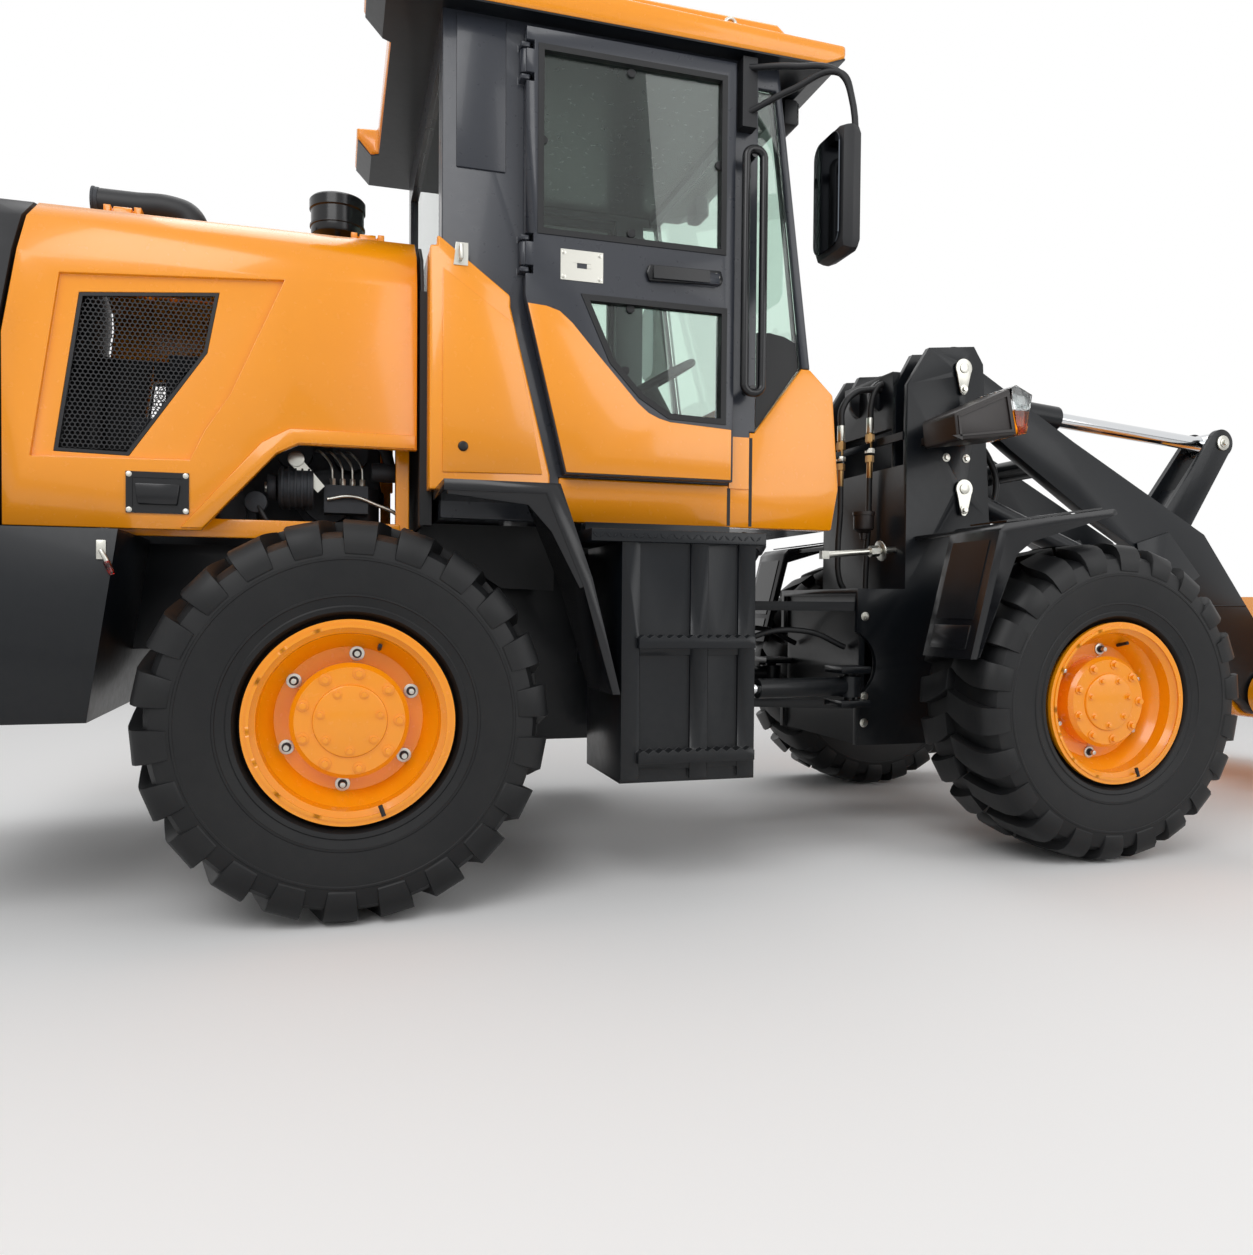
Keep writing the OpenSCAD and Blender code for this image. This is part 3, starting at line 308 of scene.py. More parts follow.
cab_glass = clear_sheet("tinted_float_glass", "#DCEBE3", 1.45, 0)
clear_lens = clear_sheet("fluted_clear_acrylic", "#F2F5F5", 1.49, FLUTE_MM)
amber_lens = clear_sheet("fluted_amber_acrylic", "#F08A12", 1.49, FLUTE_MM)
red_lens = clear_sheet("fluted_red_acrylic", "#C21A14", 1.49, FLUTE_MM)
print("clear finishes:", cab_glass.name, clear_lens.name, amber_lens.name, red_lens.name)

# %% [markdown]
# The seat wears a dark woven cloth. Its weave is far finer than a pixel at this distance, so the threads are
# drawn about eight millimetres apart, several times as coarse as they are, to show at all. Two crossed waves
# make the weave.

# %% Woven seat cloth
THREAD_MM = 7.89


def woven_cloth(name, hex_colour, light_hex):
    material, tree, shader, place = new_finish(name)
    waves = [add_node(tree, "ShaderNodeTexWave", {"bands_direction": way},
                      {"Vector": place, "Scale": 1000 * WAVE_PERIOD / THREAD_MM}) for way in ("Y", "Z")]
    weave = add_node(tree, "ShaderNodeMath", {"operation": "MULTIPLY"},
                     {0: waves[0].outputs["Fac"], 1: waves[1].outputs["Fac"]})
    tone = add_node(tree, "ShaderNodeMix", {"data_type": "RGBA"},
                    {0: weave.outputs["Value"], 6: linear(hex_colour), 7: linear(light_hex)})
    bump = add_node(tree, "ShaderNodeBump",
                    inputs={"Height": weave.outputs["Value"], "Strength": 0.4, "Distance": 0.001})
    tree.links.new(tone.outputs[2], shader.inputs["Base Color"])
    tree.links.new(bump.outputs["Normal"], shader.inputs["Normal"])
    shader.inputs["Roughness"].default_value = 0.9
    shader.inputs["Sheen Weight"].default_value = 0.3
    return material


seat_cloth = woven_cloth("woven_polyester", "#1D1E21", "#33353A")
print("cloth:", seat_cloth.name)

# %% [markdown]
# ## The frame's own solids
# Most solids keep their shape and only get a finish. Sheet and plate on a real machine never has a razor
# edge, so a bevel of a few millimetres goes on as a modifier, after a weld that joins the corners the import
# split apart. The modifier leaves the solid's own mesh as it is.

# %% Dress the solids
NODE_FINISH = {
    orange_enamel: ["hood_top", "hood_right", "hood_left", "cowl", "cab_front", "roof", "side_covers", "bucket",
                    "rim_rear_right", "rim_rear_left", "rim_front_right", "rim_front_left"],
    frame_enamel: ["rear_chassis", "front_chassis", "boom", "lever", "link", "counterweight", "step_boxes",
                   "rear_axle", "front_axle", "lift_barrels", "tilt_barrel", "steer_barrel_right",
                   "steer_barrel_left", "filler_neck"],
    cab_enamel: ["cab_sides", "cab_head", "cab_rear_wall", "cab_floor", "door_right", "door_left"],
    matt_abs: ["rear_grille", "air_intake", "exhaust", "controls", "mirrors", "grab_rails", "grille_right",
               "grille_left"],
    gloss_abs: ["rear_fenders", "front_fenders"],
    lamp_abs: ["headlights"],
    cab_glass: ["cab_glass", "door_glass_right", "door_glass_left"],
    seat_cloth: ["seat"],
    clear_lens: ["lamps"],
    hard_chrome: ["lift_rods", "tilt_rod", "steer_rod_right", "steer_rod_left"],
    zinc_plate: ["hinge_pins"],
    cast_iron: ["engine", "transmission"],
    tyre_rubber: ["tyre_rear_right", "tyre_rear_left", "tyre_front_right", "tyre_front_left"],
}
# Width of the bevel in mm
SOFT_EDGE = {"hood_right": 8, "hood_left": 8, "hood_top": 4, "cowl": 10, "roof": 12, "side_covers": 8,
             "cab_sides": 5, "exhaust": 20, "door_right": 5, "door_left": 5, "boom": 3, "front_chassis": 3,
             "rear_chassis": 3, "counterweight": 12, "step_boxes": 4, "rear_fenders": 4, "front_fenders": 6,
             "lever": 3, "link": 3, "rear_grille": 4}
WELD_M = 0.00005
BEVEL_FROM_DEG = 40
SMOOTH_DEG = 32


def smooth_below(mesh, degrees):
    mesh.polygons.foreach_set("use_smooth", [True] * len(mesh.polygons))
    mesh.set_sharp_from_angle(angle=math.radians(degrees))


for finish, names in NODE_FINISH.items():
    for name in names:
        solid = nodes[name]
        solid.data.materials.clear()
        solid.data.materials.append(finish)
        if name in SOFT_EDGE:
            weld = solid.modifiers.new("weld", "WELD")
            weld.merge_threshold = WELD_M
            bevel = solid.modifiers.new("soft_edge", "BEVEL")
            bevel.width = SOFT_EDGE[name] / 1000
            bevel.segments = 2
            bevel.limit_method = "ANGLE"
            bevel.angle_limit = math.radians(BEVEL_FROM_DEG)
            bevel.harden_normals = True
        smooth_below(solid.data, SMOOTH_DEG)
print("solids dressed:", sum(len(names) for names in NODE_FINISH.values()))

# %% [markdown]
# ## Helpers for new pieces
# Small parts are gathered in one mesh per finish and body, so that a row of bolts is one piece. A finished
# mesh becomes an object that carries its finish and rides on a body of the frame. Edges are
# bevelled in the mesh itself, because each form has its own radius.

# %% Pieces and soft edges
SHARP_DEG = 30


def new_piece(name, bm, finish, body, degrees=35):
    """Turns a finished bmesh into a piece that rides on a body of the frame."""
    bmesh.ops.recalc_face_normals(bm, faces=bm.faces)
    mesh = bpy.data.meshes.new(name)
    bm.to_mesh(mesh)
    bm.free()
    mesh.materials.append(finish)
    smooth_below(mesh, degrees)
    obj = bpy.data.objects.new(name, mesh)
    bpy.context.collection.objects.link(obj)
    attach(obj, body)
    return obj


def soften(bm, before, width, segments=2):
    """Bevels the sharp edges of what was added to the mesh since it had this many faces."""
    bm.faces.ensure_lookup_table()
    edges = {edge for face in bm.faces[before:] for edge in face.edges if edge.is_manifold}
    sharp = [edge for edge in edges if edge.calc_face_angle(0) > math.radians(SHARP_DEG)]
    if sharp and width:
        bmesh.ops.bevel(bm, geom=sharp, offset=width, segments=segments, profile=0.5, affect="EDGES",
                        clamp_overlap=True)


# %% [markdown]
# Each of these helpers adds one simple form to a mesh that is being built: a block with soft edges, a prism
# over any outline, a round bar or cone, a bolt head on its washer. Operators on objects could do the same,
# but they need a selection and a mode; bmesh works on the mesh alone.

# %% Simple forms


def add_block(bm, low, high, edge=0.002):
    before = len(bm.faces)
    middle = (low + high) / 2
    size = high - low
    bmesh.ops.create_cube(bm, size=1.0, matrix=Matrix.Translation(middle) @ Matrix.Diagonal(size.to_4d()))
    soften(bm, before, edge)


def add_slab(bm, low, high, y, half, edge):
    """A block between two (x, z) corners that reaches half mm to either side of y."""
    add_block(bm, at(low[0], y - half, low[1]), at(high[0], y + half, high[1]), edge)


def add_prism(bm, outline, depth, edge=0.0):
    """Extrudes a closed outline of points by a vector."""
    before = len(bm.faces)
    near = [bm.verts.new(p) for p in outline]
    far = [bm.verts.new(p + depth) for p in outline]
    bm.faces.new(near)
    bm.faces.new(list(reversed(far)))
    for i in range(len(outline)):
        j = (i + 1) % len(outline)
        bm.faces.new((near[j], near[i], far[i], far[j]))
    bmesh.ops.recalc_face_normals(bm, faces=bm.faces[before:] if before else bm.faces)
    soften(bm, before, edge)


def add_bar(bm, start, end, radius, end_radius=None, segments=24, edge=0.0):
    before = len(bm.faces)
    along = end - start
    turn = along.to_track_quat("Z", "Y").to_matrix().to_4x4()
    bmesh.ops.create_cone(bm, cap_ends=True, segments=segments, radius1=radius,
                          radius2=radius if end_radius is None else end_radius, depth=along.length,
                          matrix=Matrix.Translation((start + end) / 2) @ turn)
    soften(bm, before, edge)


def add_bolt(bm, point, way, width, height=None):
    """Hexagon head on a washer, standing on a surface whose outward direction is way."""
    way = way.normalized()
    height = height or width * 0.6
    add_bar(bm, point, point + way * height * 0.25, width * 0.85, segments=20)
    add_bar(bm, point + way * height * 0.2, point + way * height, width / 2, segments=6, edge=width * 0.06)


# %% [markdown]
# Hoses and pipes are round all along and bend smoothly between fittings. A curve with a round bevel gives
# that from a few points, and its handles find the bends by themselves.

# %% Hoses and sides


def hose(name, points, diameter, body, finish=None):
    """A fixed hose or pipe along stations between two fittings; its knots' radius sets its thickness."""
    curve = bpy.data.curves.new(name, "CURVE")
    curve.dimensions = "3D"
    curve.bevel_depth = 1.0
    curve.bevel_resolution = 4
    curve.use_fill_caps = True
    line = curve.splines.new("BEZIER")
    line.bezier_points.add(len(points) - 1)
    for knot, point in zip(line.bezier_points, points):
        knot.co = at(*point)
        knot.radius = diameter / 2
        knot.handle_left_type = knot.handle_right_type = "AUTO"
    line.resolution_u = 10
    curve.materials.append(finish or hose_rubber)
    obj = bpy.data.objects.new(name, curve)
    bpy.context.collection.objects.link(obj)
    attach(obj, body)
    return obj


SIDES = (("right", -1), ("left", 1))

# %% [markdown]
# ## Tyres
# The tyre is a loader tyre with two rows of heavy lugs that run from the middle over the shoulder and a
# little way down the sidewall, each row half a pitch behind the other. The lugs could be one block that an
# array repeats, but a block can't follow the shoulder. So the carcass is turned from its section, and each
# lug is lofted along its length from a wide foot to a narrower crown.

# %% Carcass and lug sections
SHOULDER = 0.19
TREAD_FROM = 0.45
LUG_ROOT = 0.012
SIDE_LUG_DEPTH = 0.030
SIDE_LUG_INSET = 0.022
LUG_EDGE = 0.004
SPIN_STEPS = 132
LUGS_PER_ROW = 22
PITCH = 2 * math.pi / LUGS_PER_ROW
CARCASS = [(0.2555, 0.138), (0.2790, 0.148), (0.2850, 0.176), (0.2920, 0.186), (0.3040, 0.189),
           (0.3080, 0.1865), (0.3300, 0.1925), (0.3320, 0.1950), (0.3370, 0.1950), (0.3390, 0.1930),
           (0.3900, 0.2000), (0.4250, 0.2010), (0.4270, 0.2030), (0.4320, 0.2030), (0.4340, 0.2010),
           (0.4600, 0.1980), (0.4820, 0.1900), (0.4960, 0.1700), (0.5030, 0.1350), (0.5060, 0.0700),
           (0.5070, 0.0)]
# Along a lug: distance from the middle plane, crown radius, half width at the crown and at the foot, and the
# lead round the tyre
LUG_STATIONS = [(0.006, 0.5390, 0.038, 0.043, 0.000), (0.040, 0.5395, 0.042, 0.047, 0.016),
                (0.085, 0.5390, 0.045, 0.050, 0.034), (0.130, 0.5365, 0.046, 0.051, 0.046),
                (0.165, 0.5300, 0.046, 0.051, 0.051), (0.184, 0.5190, 0.046, 0.051, 0.052),
                (0.1985, 0.4960, 0.046, 0.050, 0.052), (0.2035, 0.4650, 0.045, 0.048, 0.052),
                (0.2030, 0.4440, 0.043, 0.046, 0.052)]


def carcass_radius(offset):
    """Outer radius of the carcass under the tread, this far from the middle plane."""
    for (r0, y0), (r1, y1) in zip(CARCASS[:-1], CARCASS[1:]):
        if r0 > TREAD_FROM and y1 <= offset <= y0:
            return r0 + (r1 - r0) * (y0 - offset) / (y0 - y1)
    return CARCASS[-1][0]


print("lugs on a tyre:", 2 * LUGS_PER_ROW)

# %% [markdown]
# The mesh is built once, round the origin: the spun carcass first, then lug after lug. A lug's root goes a
# little into the carcass, so that no gap shows at its foot, and below the shoulder its foot follows the
# sidewall.

# %% Tyre mesh


def build_tyre_mesh():
    bm = bmesh.new()
    section = [(r, -y) for r, y in CARCASS] + [(r, y) for r, y in reversed(CARCASS[:-1])]
    ring = [bm.verts.new((r, y, 0)) for r, y in section]
    edges = [bm.edges.new(pair) for pair in zip(ring[:-1], ring[1:])]
    bmesh.ops.spin(bm, geom=ring + edges, cent=(0, 0, 0), axis=(0, 1, 0), angle=2 * math.pi, steps=SPIN_STEPS,
                   use_merge=True, use_duplicate=False)
    for side in (-1, 1):
        for i in range(LUGS_PER_ROW):
            base_angle = (i + (0.5 if side > 0 else 0.0)) * PITCH
            before = len(bm.faces)
            rows = []
            for y, crown, half_top, half_foot, lead in LUG_STATIONS:
                inner = carcass_radius(y) - LUG_ROOT if y < SHOULDER else crown - SIDE_LUG_DEPTH
                foot_y = y if y < SHOULDER else y - SIDE_LUG_INSET
                middle = base_angle + lead / TYRE_R
                corners = ((crown, half_top, -1, y), (crown, half_top, 1, y), (inner, half_foot, 1, foot_y),
                           (inner, half_foot, -1, foot_y))
                rows.append([bm.verts.new((r * math.cos(middle + s * half / TYRE_R), side * place,
                                           r * math.sin(middle + s * half / TYRE_R)))
                             for r, half, s, place in corners])
            for a, b in zip(rows[:-1], rows[1:]):
                for k in range(4):
                    bm.faces.new((a[k], a[(k + 1) % 4], b[(k + 1) % 4], b[k]))
            bm.faces.new(rows[0])
            bm.faces.new(list(reversed(rows[-1])))
            bmesh.ops.recalc_face_normals(bm, faces=bm.faces[before:])
            soften(bm, before, LUG_EDGE)
    bmesh.ops.recalc_face_normals(bm, faces=bm.faces)
    mesh = bpy.data.meshes.new("lugged_tyre")
    bm.to_mesh(mesh)
    bm.free()
    mesh.materials.append(tyre_rubber)
    smooth_below(mesh, SMOOTH_DEG)
    return mesh


# %% [markdown]
# One mesh serves the four wheels. Each object only has its own place, rides on its wheel and stands for the
# plain tyre of the construction model.

# %% Four tyres
WHEELS = [(end + "_" + side, x, sign) for end, x in (("rear", REAR_X), ("front", FRONT_X))
          for side, sign in SIDES]
tyre_mesh = build_tyre_mesh()
for wheel, x, sign in WHEELS:
    tyre = bpy.data.objects.new("lugged_tyre_" + wheel, tyre_mesh)
    bpy.context.collection.objects.link(tyre)
    tyre.matrix_world = Matrix.Translation((x, sign * TRACK_HALF, AXLE_Z))
    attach(tyre, "wheel_" + wheel)
    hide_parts("tyre_" + wheel)
print("tyre faces:", len(tyre_mesh.polygons))

# %% [markdown]
# ## Wheels
# Each wheel is a split steel rim bolted to a planetary hub. Six nuts on washers hold the disc, fitted after
# painting, so they are bare. They are built from bars round the wheel's axis, because a modifier would need
# an empty object for its centre.

# %% Wheel nuts
NUT_CIRCLE = 0.178
RIM_FACE = 0.935
DISC_FACE = 0.825
HUB_FACE = 0.890


def on_rim(x, sign, radius, degrees, face):
    angle = math.radians(degrees)
    return Vector((x + radius * math.cos(angle), sign * face, AXLE_Z + radius * math.sin(angle)))


for wheel, x, sign in WHEELS:
    out = Vector((0, sign, 0))
    steel = bmesh.new()
    studs = bmesh.new()
    for i in range(6):
        foot = on_rim(x, sign, NUT_CIRCLE, 24 + 60 * i, DISC_FACE)
        add_bar(steel, foot - out * 0.001, foot + out * 0.004, 0.020, segments=24, edge=0.001)
        add_bolt(studs, foot + out * 0.003, out, 0.015, 0.016)
        add_bar(steel, foot + out * 0.015, foot + out * 0.028, 0.0075, segments=12)
    new_piece("wheel_nuts_" + wheel, studs, cast_iron, "wheel_" + wheel)
    new_piece("wheel_washers_" + wheel, steel, zinc_plate, "wheel_" + wheel)
print("wheel nuts:", 6 * len(WHEELS))

# %% [markdown]
# The hub's cover has two rings of smaller bolts, and a lock ring, split at one place, keeps the tyre on. They
# are painted with the rim. The ring is swept as short prisms that stop before they close, and a dark bar in
# the split is painted shade of the gap; the valve is a rubber stem.

# %% Hub covers and lock rings
HUB_CIRCLE = 0.128
COVER_CIRCLE = 0.079
RING_STEPS = 96
RING_OUTER, RING_INNER = 0.2585, 0.2500
for wheel, x, sign in WHEELS:
    out = Vector((0, sign, 0))
    painted = bmesh.new()
    for i in range(9):
        add_bolt(painted, on_rim(x, sign, HUB_CIRCLE, 40 * i, HUB_FACE), out, 0.019, 0.013)
    middle = on_rim(x, sign, 0, 0, HUB_FACE)
    add_bar(painted, middle - out * 0.001, middle + out * 0.007, 0.098, 0.095, segments=64, edge=0.002)
    for i in range(7):
        add_bolt(painted, on_rim(x, sign, COVER_CIRCLE, 51.4 * i + 12, HUB_FACE + 0.006), out, 0.015, 0.010)
    new_piece("hub_cover_" + wheel, painted, orange_enamel, "wheel_" + wheel)
    ring = bmesh.new()
    loop, inner = (
        [on_rim(x, sign, radius, -70 + 358 * i / RING_STEPS, RIM_FACE) for i in range(RING_STEPS + 1)]
        for radius in (RING_OUTER, RING_INNER))
    for i in range(RING_STEPS):
        add_prism(ring, [loop[i], loop[i + 1], inner[i + 1], inner[i]], out * 0.004)
    bmesh.ops.remove_doubles(ring, verts=ring.verts, dist=0.00001)
    new_piece("lock_ring_" + wheel, ring, orange_enamel, "wheel_" + wheel)
    # The dark rubber bar across the ring's split is painted shade of the gap; the valve stem beside it is real
    # rubber.
    split_shade_and_valve = bmesh.new()
    low = on_rim(x, sign, 0.262, -71, RIM_FACE + 0.0035)
    high = on_rim(x, sign, 0.232, -71, RIM_FACE + 0.0035)
    add_bar(split_shade_and_valve, low, high, 0.006, segments=8)
    valve = on_rim(x, sign, 0.205, 68, DISC_FACE + 0.02)
    add_bar(split_shade_and_valve, valve, valve + out * 0.045 + Vector((0, 0, 0.01)), 0.006, segments=12)
    new_piece("lock_ring_split_shade_and_valve_" + wheel, split_shade_and_valve, dark_rubber_and_painted_shade, "wheel_" + wheel)
print("wheels dressed:", len(WHEELS))

# %% [markdown]
# ## Outlines in side view
# Doors, seals and grilles follow outlines drawn in side view. They could be cut from boxes with booleans, but
# an outline that is a plain list of points is easier to read and to correct. The helpers make an outline
# smaller by a margin, tell whether a point lies inside, set it on the machine's side, and turn it into a
# plate or into a flat frame.

# %% Outline helpers


def shrink(outline, margin):
    """A closed outline of (x, z) pairs moved inward by a margin, corner by corner."""
    area = sum(a[0] * b[1] - b[0] * a[1] for a, b in zip(outline, outline[1:] + outline[:1]))
    turn = 1 if area > 0 else -1
    moved = []
    for i, here in enumerate(outline):
        before, after = Vector(outline[i - 1]), Vector(outline[(i + 1) % len(outline)])
        here = Vector(here)
        one, two = (here - before).normalized(), (after - here).normalized()
        n1, n2 = Vector((-one.y, one.x)) * turn, Vector((-two.y, two.x)) * turn
        half = (n1 + n2).normalized()
        moved.append(tuple(here + half * margin / max(0.3, half.dot(n1))))
    return moved


def inside(point, outline):
    x, z = point
    odd = False
    for (x0, z0), (x1, z1) in zip(outline, outline[1:] + outline[:1]):
        if (z0 > z) != (z1 > z) and x < x0 + (z - z0) * (x1 - x0) / (z1 - z0):
            odd = not odd
    return odd


def on_side(outline, y):
    return [at(x, y, z) for x, z in outline]


def add_plate(bm, outline, y, depth, edge=0.0):
    """A flat plate with this outline at y, extruded sideways by a depth in mm."""
    add_prism(bm, on_side(outline, y), Vector((0, depth / 1000, 0)), edge)


def add_frame(bm, outline, margin, y, depth):
    """A flat frame as wide as the margin, along the inside of an outline."""
    before = len(bm.faces)
    loops = [[bm.verts.new(p) for p in on_side(line, side)]
             for side in (y, y + depth) for line in (outline, shrink(outline, margin))]
    outer, inner, outer2, inner2 = loops
    for i in range(len(outline)):
        j = (i + 1) % len(outline)
        for a, b in ((outer, inner), (inner, inner2), (inner2, outer2), (outer2, outer)):
            bm.faces.new((a[i], a[j], b[j], b[i]))
    bm.faces.ensure_lookup_table()
    bmesh.ops.recalc_face_normals(bm, faces=bm.faces[before:])


# %% [markdown]
# ## Hood
# The side grilles are pressed steel meshes with hexagonal holes about 13 mm apart. A picture of holes would
# look flat from near by, and a boolean for each hole would be slow. So the mesh is laid out hexagon by
# hexagon; each cell is inset, its middle is removed and the strands that are left get their thickness.

# %% Hexagon mesh
GRILLE = [(-707, 1694), (-352, 1727), (-384, 1554), (-585, 1256), (-771, 1260)]
CELL_MM = 13.0
STRAND_MM = 3.4


def add_hex_mesh(bm, outline, y, depth):
    made = {}
    radius = CELL_MM / math.sqrt(3)
    faces = []
    inner = shrink(outline, 12)
    xs, zs = [p[0] for p in outline], [p[1] for p in outline]
    for row in range(int((max(zs) - min(zs)) / (1.5 * radius)) + 1):
        for column in range(int((max(xs) - min(xs)) / CELL_MM) + 1):
            centre = (min(xs) + (column + 0.5 * (row % 2)) * CELL_MM, min(zs) + row * 1.5 * radius)
            if not inside(centre, inner):
                continue
            corners = []
            for k in range(6):
                angle = math.radians(60 * k + 30)
                x, z = centre[0] + radius * math.cos(angle), centre[1] + radius * math.sin(angle)
                key = (round(x), round(z))
                if key not in made:
                    made[key] = bm.verts.new(at(x, y, z))
                corners.append(made[key])
            faces.append(bm.faces.new(corners))
    bm.normal_update()
    bmesh.ops.inset_individual(bm, faces=faces, thickness=STRAND_MM / 2000)
    bmesh.ops.delete(bm, geom=faces, context="FACES")
    bmesh.ops.recalc_face_normals(bm, faces=bm.faces)
    bmesh.ops.solidify(bm, geom=list(bm.faces), thickness=depth)


for side, sign in SIDES:
    mesh_bm = bmesh.new()
    add_hex_mesh(mesh_bm, GRILLE, sign * (HOOD_SIDE - 19), 0.002)
    add_frame(mesh_bm, shrink(GRILLE, 1), 9, sign * (HOOD_SIDE - 22), sign * 7)
    mesh_piece = new_piece("hex_mesh_" + side, mesh_bm, matt_abs, "hood_" + side)
    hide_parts("grille_" + side)
    print(mesh_piece.name, "faces:", len(mesh_piece.data.polygons))

# %% [markdown]
# A hood door carries a pressed band along the wheel arch and a recessed slam latch near its lower edge. The
# latch is a plastic bowl in a frame with four screws, with a paddle to pull. All of them are plates over
# outlines read in side view.

# %% Arch bands and latches
BAND = [(190, 1313), (-138, 1313), (-199, 1282), (-395, 1061), (-452, 1061), (-238, 1310), (-162, 1353),
        (190, 1353)]
for side, sign in SIDES:
    band = bmesh.new()
    add_plate(band, BAND, sign * (HOOD_SIDE - 1), sign * 7, 0.003)
    new_piece("arch_band_" + side, band, orange_enamel, "hood_" + side)
    latch = bmesh.new()
    frame_line = [(-590, 1098), (-430, 1098), (-430, 1212), (-590, 1212)]
    add_frame(latch, frame_line, 16, sign * HOOD_SIDE, sign * 5)
    add_plate(latch, shrink(frame_line, 15), sign * (HOOD_SIDE - 4), sign * 5)
    add_plate(latch, [(-560, 1122), (-460, 1122), (-452, 1180), (-568, 1180)], sign * (HOOD_SIDE + 1),
              sign * 11, 0.004)
    new_piece("hood_latch_" + side, latch, gloss_abs, "hood_" + side)
    screws = bmesh.new()
    for x in (-582, -438):
        for z in (1106, 1204):
            add_bolt(screws, at(x, sign * (HOOD_SIDE + 5), z), Vector((0, sign, 0)), 0.009, 0.005)
    new_piece("latch_screws_" + side, screws, zinc_plate, "hood_" + side)
print("hood doors dressed")

# %% [markdown]
# Foam against the engine's noise lines the hood doors, so that only darkness shows through the mesh. The
# slabs are glued to the steel and leave the grille free. Under each door a painted sill runs along the frame.
# A bulkhead parts the engine bay from the cab, rubber strips close the gaps at both ends of the doors, and a
# liner behind each rear wheel keeps mud from under the cab. They are simple plates, for hardly more than
# their darkness is seen.

# %% Hood lining and sills
REAR_STRIP = [(-918, 1062), (-874, 1062), (-874, 1566), (-838, 1778), (-882, 1778), (-918, 1566)]
BULKHEAD = [(-588, 1085), (-588, 1788), (-563, 1887), (-490, 1946), (-350, 1974), (350, 1974), (490, 1946),
            (563, 1887), (588, 1788), (588, 1085)]
FOAM = [[(-340, 1740), (165, 1740), (165, 1380), (-125, 1380), (-190, 1350), (-380, 1135), (-560, 1135),
         (-560, 1248), (-372, 1548)],
        [(-796, 1135), (-566, 1135), (-566, 1246), (-776, 1250)],
        [(-882, 1135), (-802, 1135), (-782, 1252), (-714, 1702), (-704, 1778), (-850, 1778), (-882, 1572)],
        [(-700, 1778), (165, 1778), (165, 1746), (-346, 1746), (-348, 1738), (-702, 1704)]]
sills = bmesh.new()
strips = bmesh.new()
for side, sign in SIDES:
    add_plate(strips, REAR_STRIP, sign * 548, sign * 18, 0.003)
    add_plate(strips, [(204, 1090), (240, 1090), (240, 1786), (204, 1786)], sign * 540, sign * 50, 0.008)
    foam = bmesh.new()
    for outline in FOAM:
        add_plate(foam, outline, sign * (HOOD_SIDE - 27), -sign * 9, 0.002)
    new_piece("hood_foam_" + side, foam, dark_rubber_and_painted_shade, "hood_" + side)
    add_plate(sills, [(-640, 1040), (150, 1040), (150, 1094), (-640, 1094)], sign * 505, sign * 35, 0.004)
new_piece("hood_sills", sills, orange_enamel, "rear_frame")
add_prism(strips, [at(206, y, z) for y, z in BULKHEAD], Vector((0.010, 0, 0)), 0.002)
LINER = [(214, 1104), (640, 1104), (640, 900), (470, 905), (340, 990), (214, 1070)]
for side, sign in SIDES:
    add_plate(strips, LINER, sign * 478, sign * 5, 0.001)
new_piece("hood_strips", strips, dark_rubber_and_painted_shade, "rear_frame")
print("hood doors lined")

# %% [markdown]
# The engine breathes through a pre-cleaner, a black plastic pot on a neck. It is a turned form, so its
# outline is spun round its axis. A worm-drive clamp holds the neck.

# %% Pre-cleaner
def add_turned(bm, centre, profile, steps=48):
    """Spins a profile of (radius, height) pairs in mm round an upright axis."""
    line = [bm.verts.new(centre + Vector((r / 1000, 0, h / 1000))) for r, h in profile]
    edges = [bm.edges.new(pair) for pair in zip(line[:-1], line[1:])]
    bmesh.ops.spin(bm, geom=line + edges, cent=centre, axis=(0, 0, 1), angle=2 * math.pi, steps=steps,
                   use_merge=True, use_duplicate=False)
    bmesh.ops.remove_doubles(bm, verts=bm.verts, dist=0.00001)


pot_foot = at(-30, -190, 1986)
pot = bmesh.new()
add_turned(pot, pot_foot, [(0, 0), (50, 0), (50, 52), (60, 62), (82, 72), (84, 78), (84, 96), (88, 98),
                           (88, 104), (84, 106), (84, 150), (89, 154), (89, 184), (84, 190), (60, 196),
                           (0, 199)])
pot_piece = new_piece("pre_cleaner", pot, gloss_abs, "rear_frame", 25)
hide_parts("air_intake")
clamp = bmesh.new()
add_turned(clamp, pot_foot, [(50, 20), (52.5, 20), (52.5, 34), (50, 34)])
add_block(clamp, pot_foot + Vector((-0.012, -0.066, 0.018)), pot_foot + Vector((0.012, -0.05, 0.036)), 0.002)
new_piece("neck_clamp", clamp, zinc_plate, "rear_frame")
print("pre-cleaner faces:", len(pot_piece.data.polygons))

# %% [markdown]
# The exhaust pipe leaves the hood, bends back and ends in an open mouth. A curve gives the bend; the mouth is
# a ring over a dark disc, which is painted shade of the hollow bore.

# %% Exhaust pipe
pipe = hose("exhaust_pipe", [(-470, -150, 1986), (-470, -150, 2036), (-486, -150, 2078), (-530, -150, 2096),
                             (-640, -150, 2096), (-752, -150, 2096)], 0.092, "rear_frame", matt_abs)
pipe.data.bevel_resolution = 10
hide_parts("exhaust")
mouth = bmesh.new()
for radius, low, high in ((0.048, -760, -742), (0.050, -762, -754)):
    add_bar(mouth, at(low, -150, 2096), at(high, -150, 2096), radius, segments=40, edge=0.002)
new_piece("exhaust_mouth", mouth, cast_iron, "rear_frame")
# A dark disc just inside the mouth is painted shade, standing for the pipe's hollow inside.
mouth_shade_disc = bmesh.new()
add_bar(mouth_shade_disc, at(-763.5, -150, 2096), at(-760, -150, 2096), 0.042, segments=40, edge=0.0005)
new_piece("exhaust_mouth_painted_shade", mouth_shade_disc, dark_rubber_and_painted_shade, "rear_frame")
print("exhaust bent")

# %% [markdown]
# ## Cab doors
# Each window sits in a black rubber seal and is held by round fixings. The lower part of the door wears an
# orange skin whose upper edge sweeps along the lower window. Skin and seals follow outlines, so that a seal
# is the window's own outline, made wider and narrower.

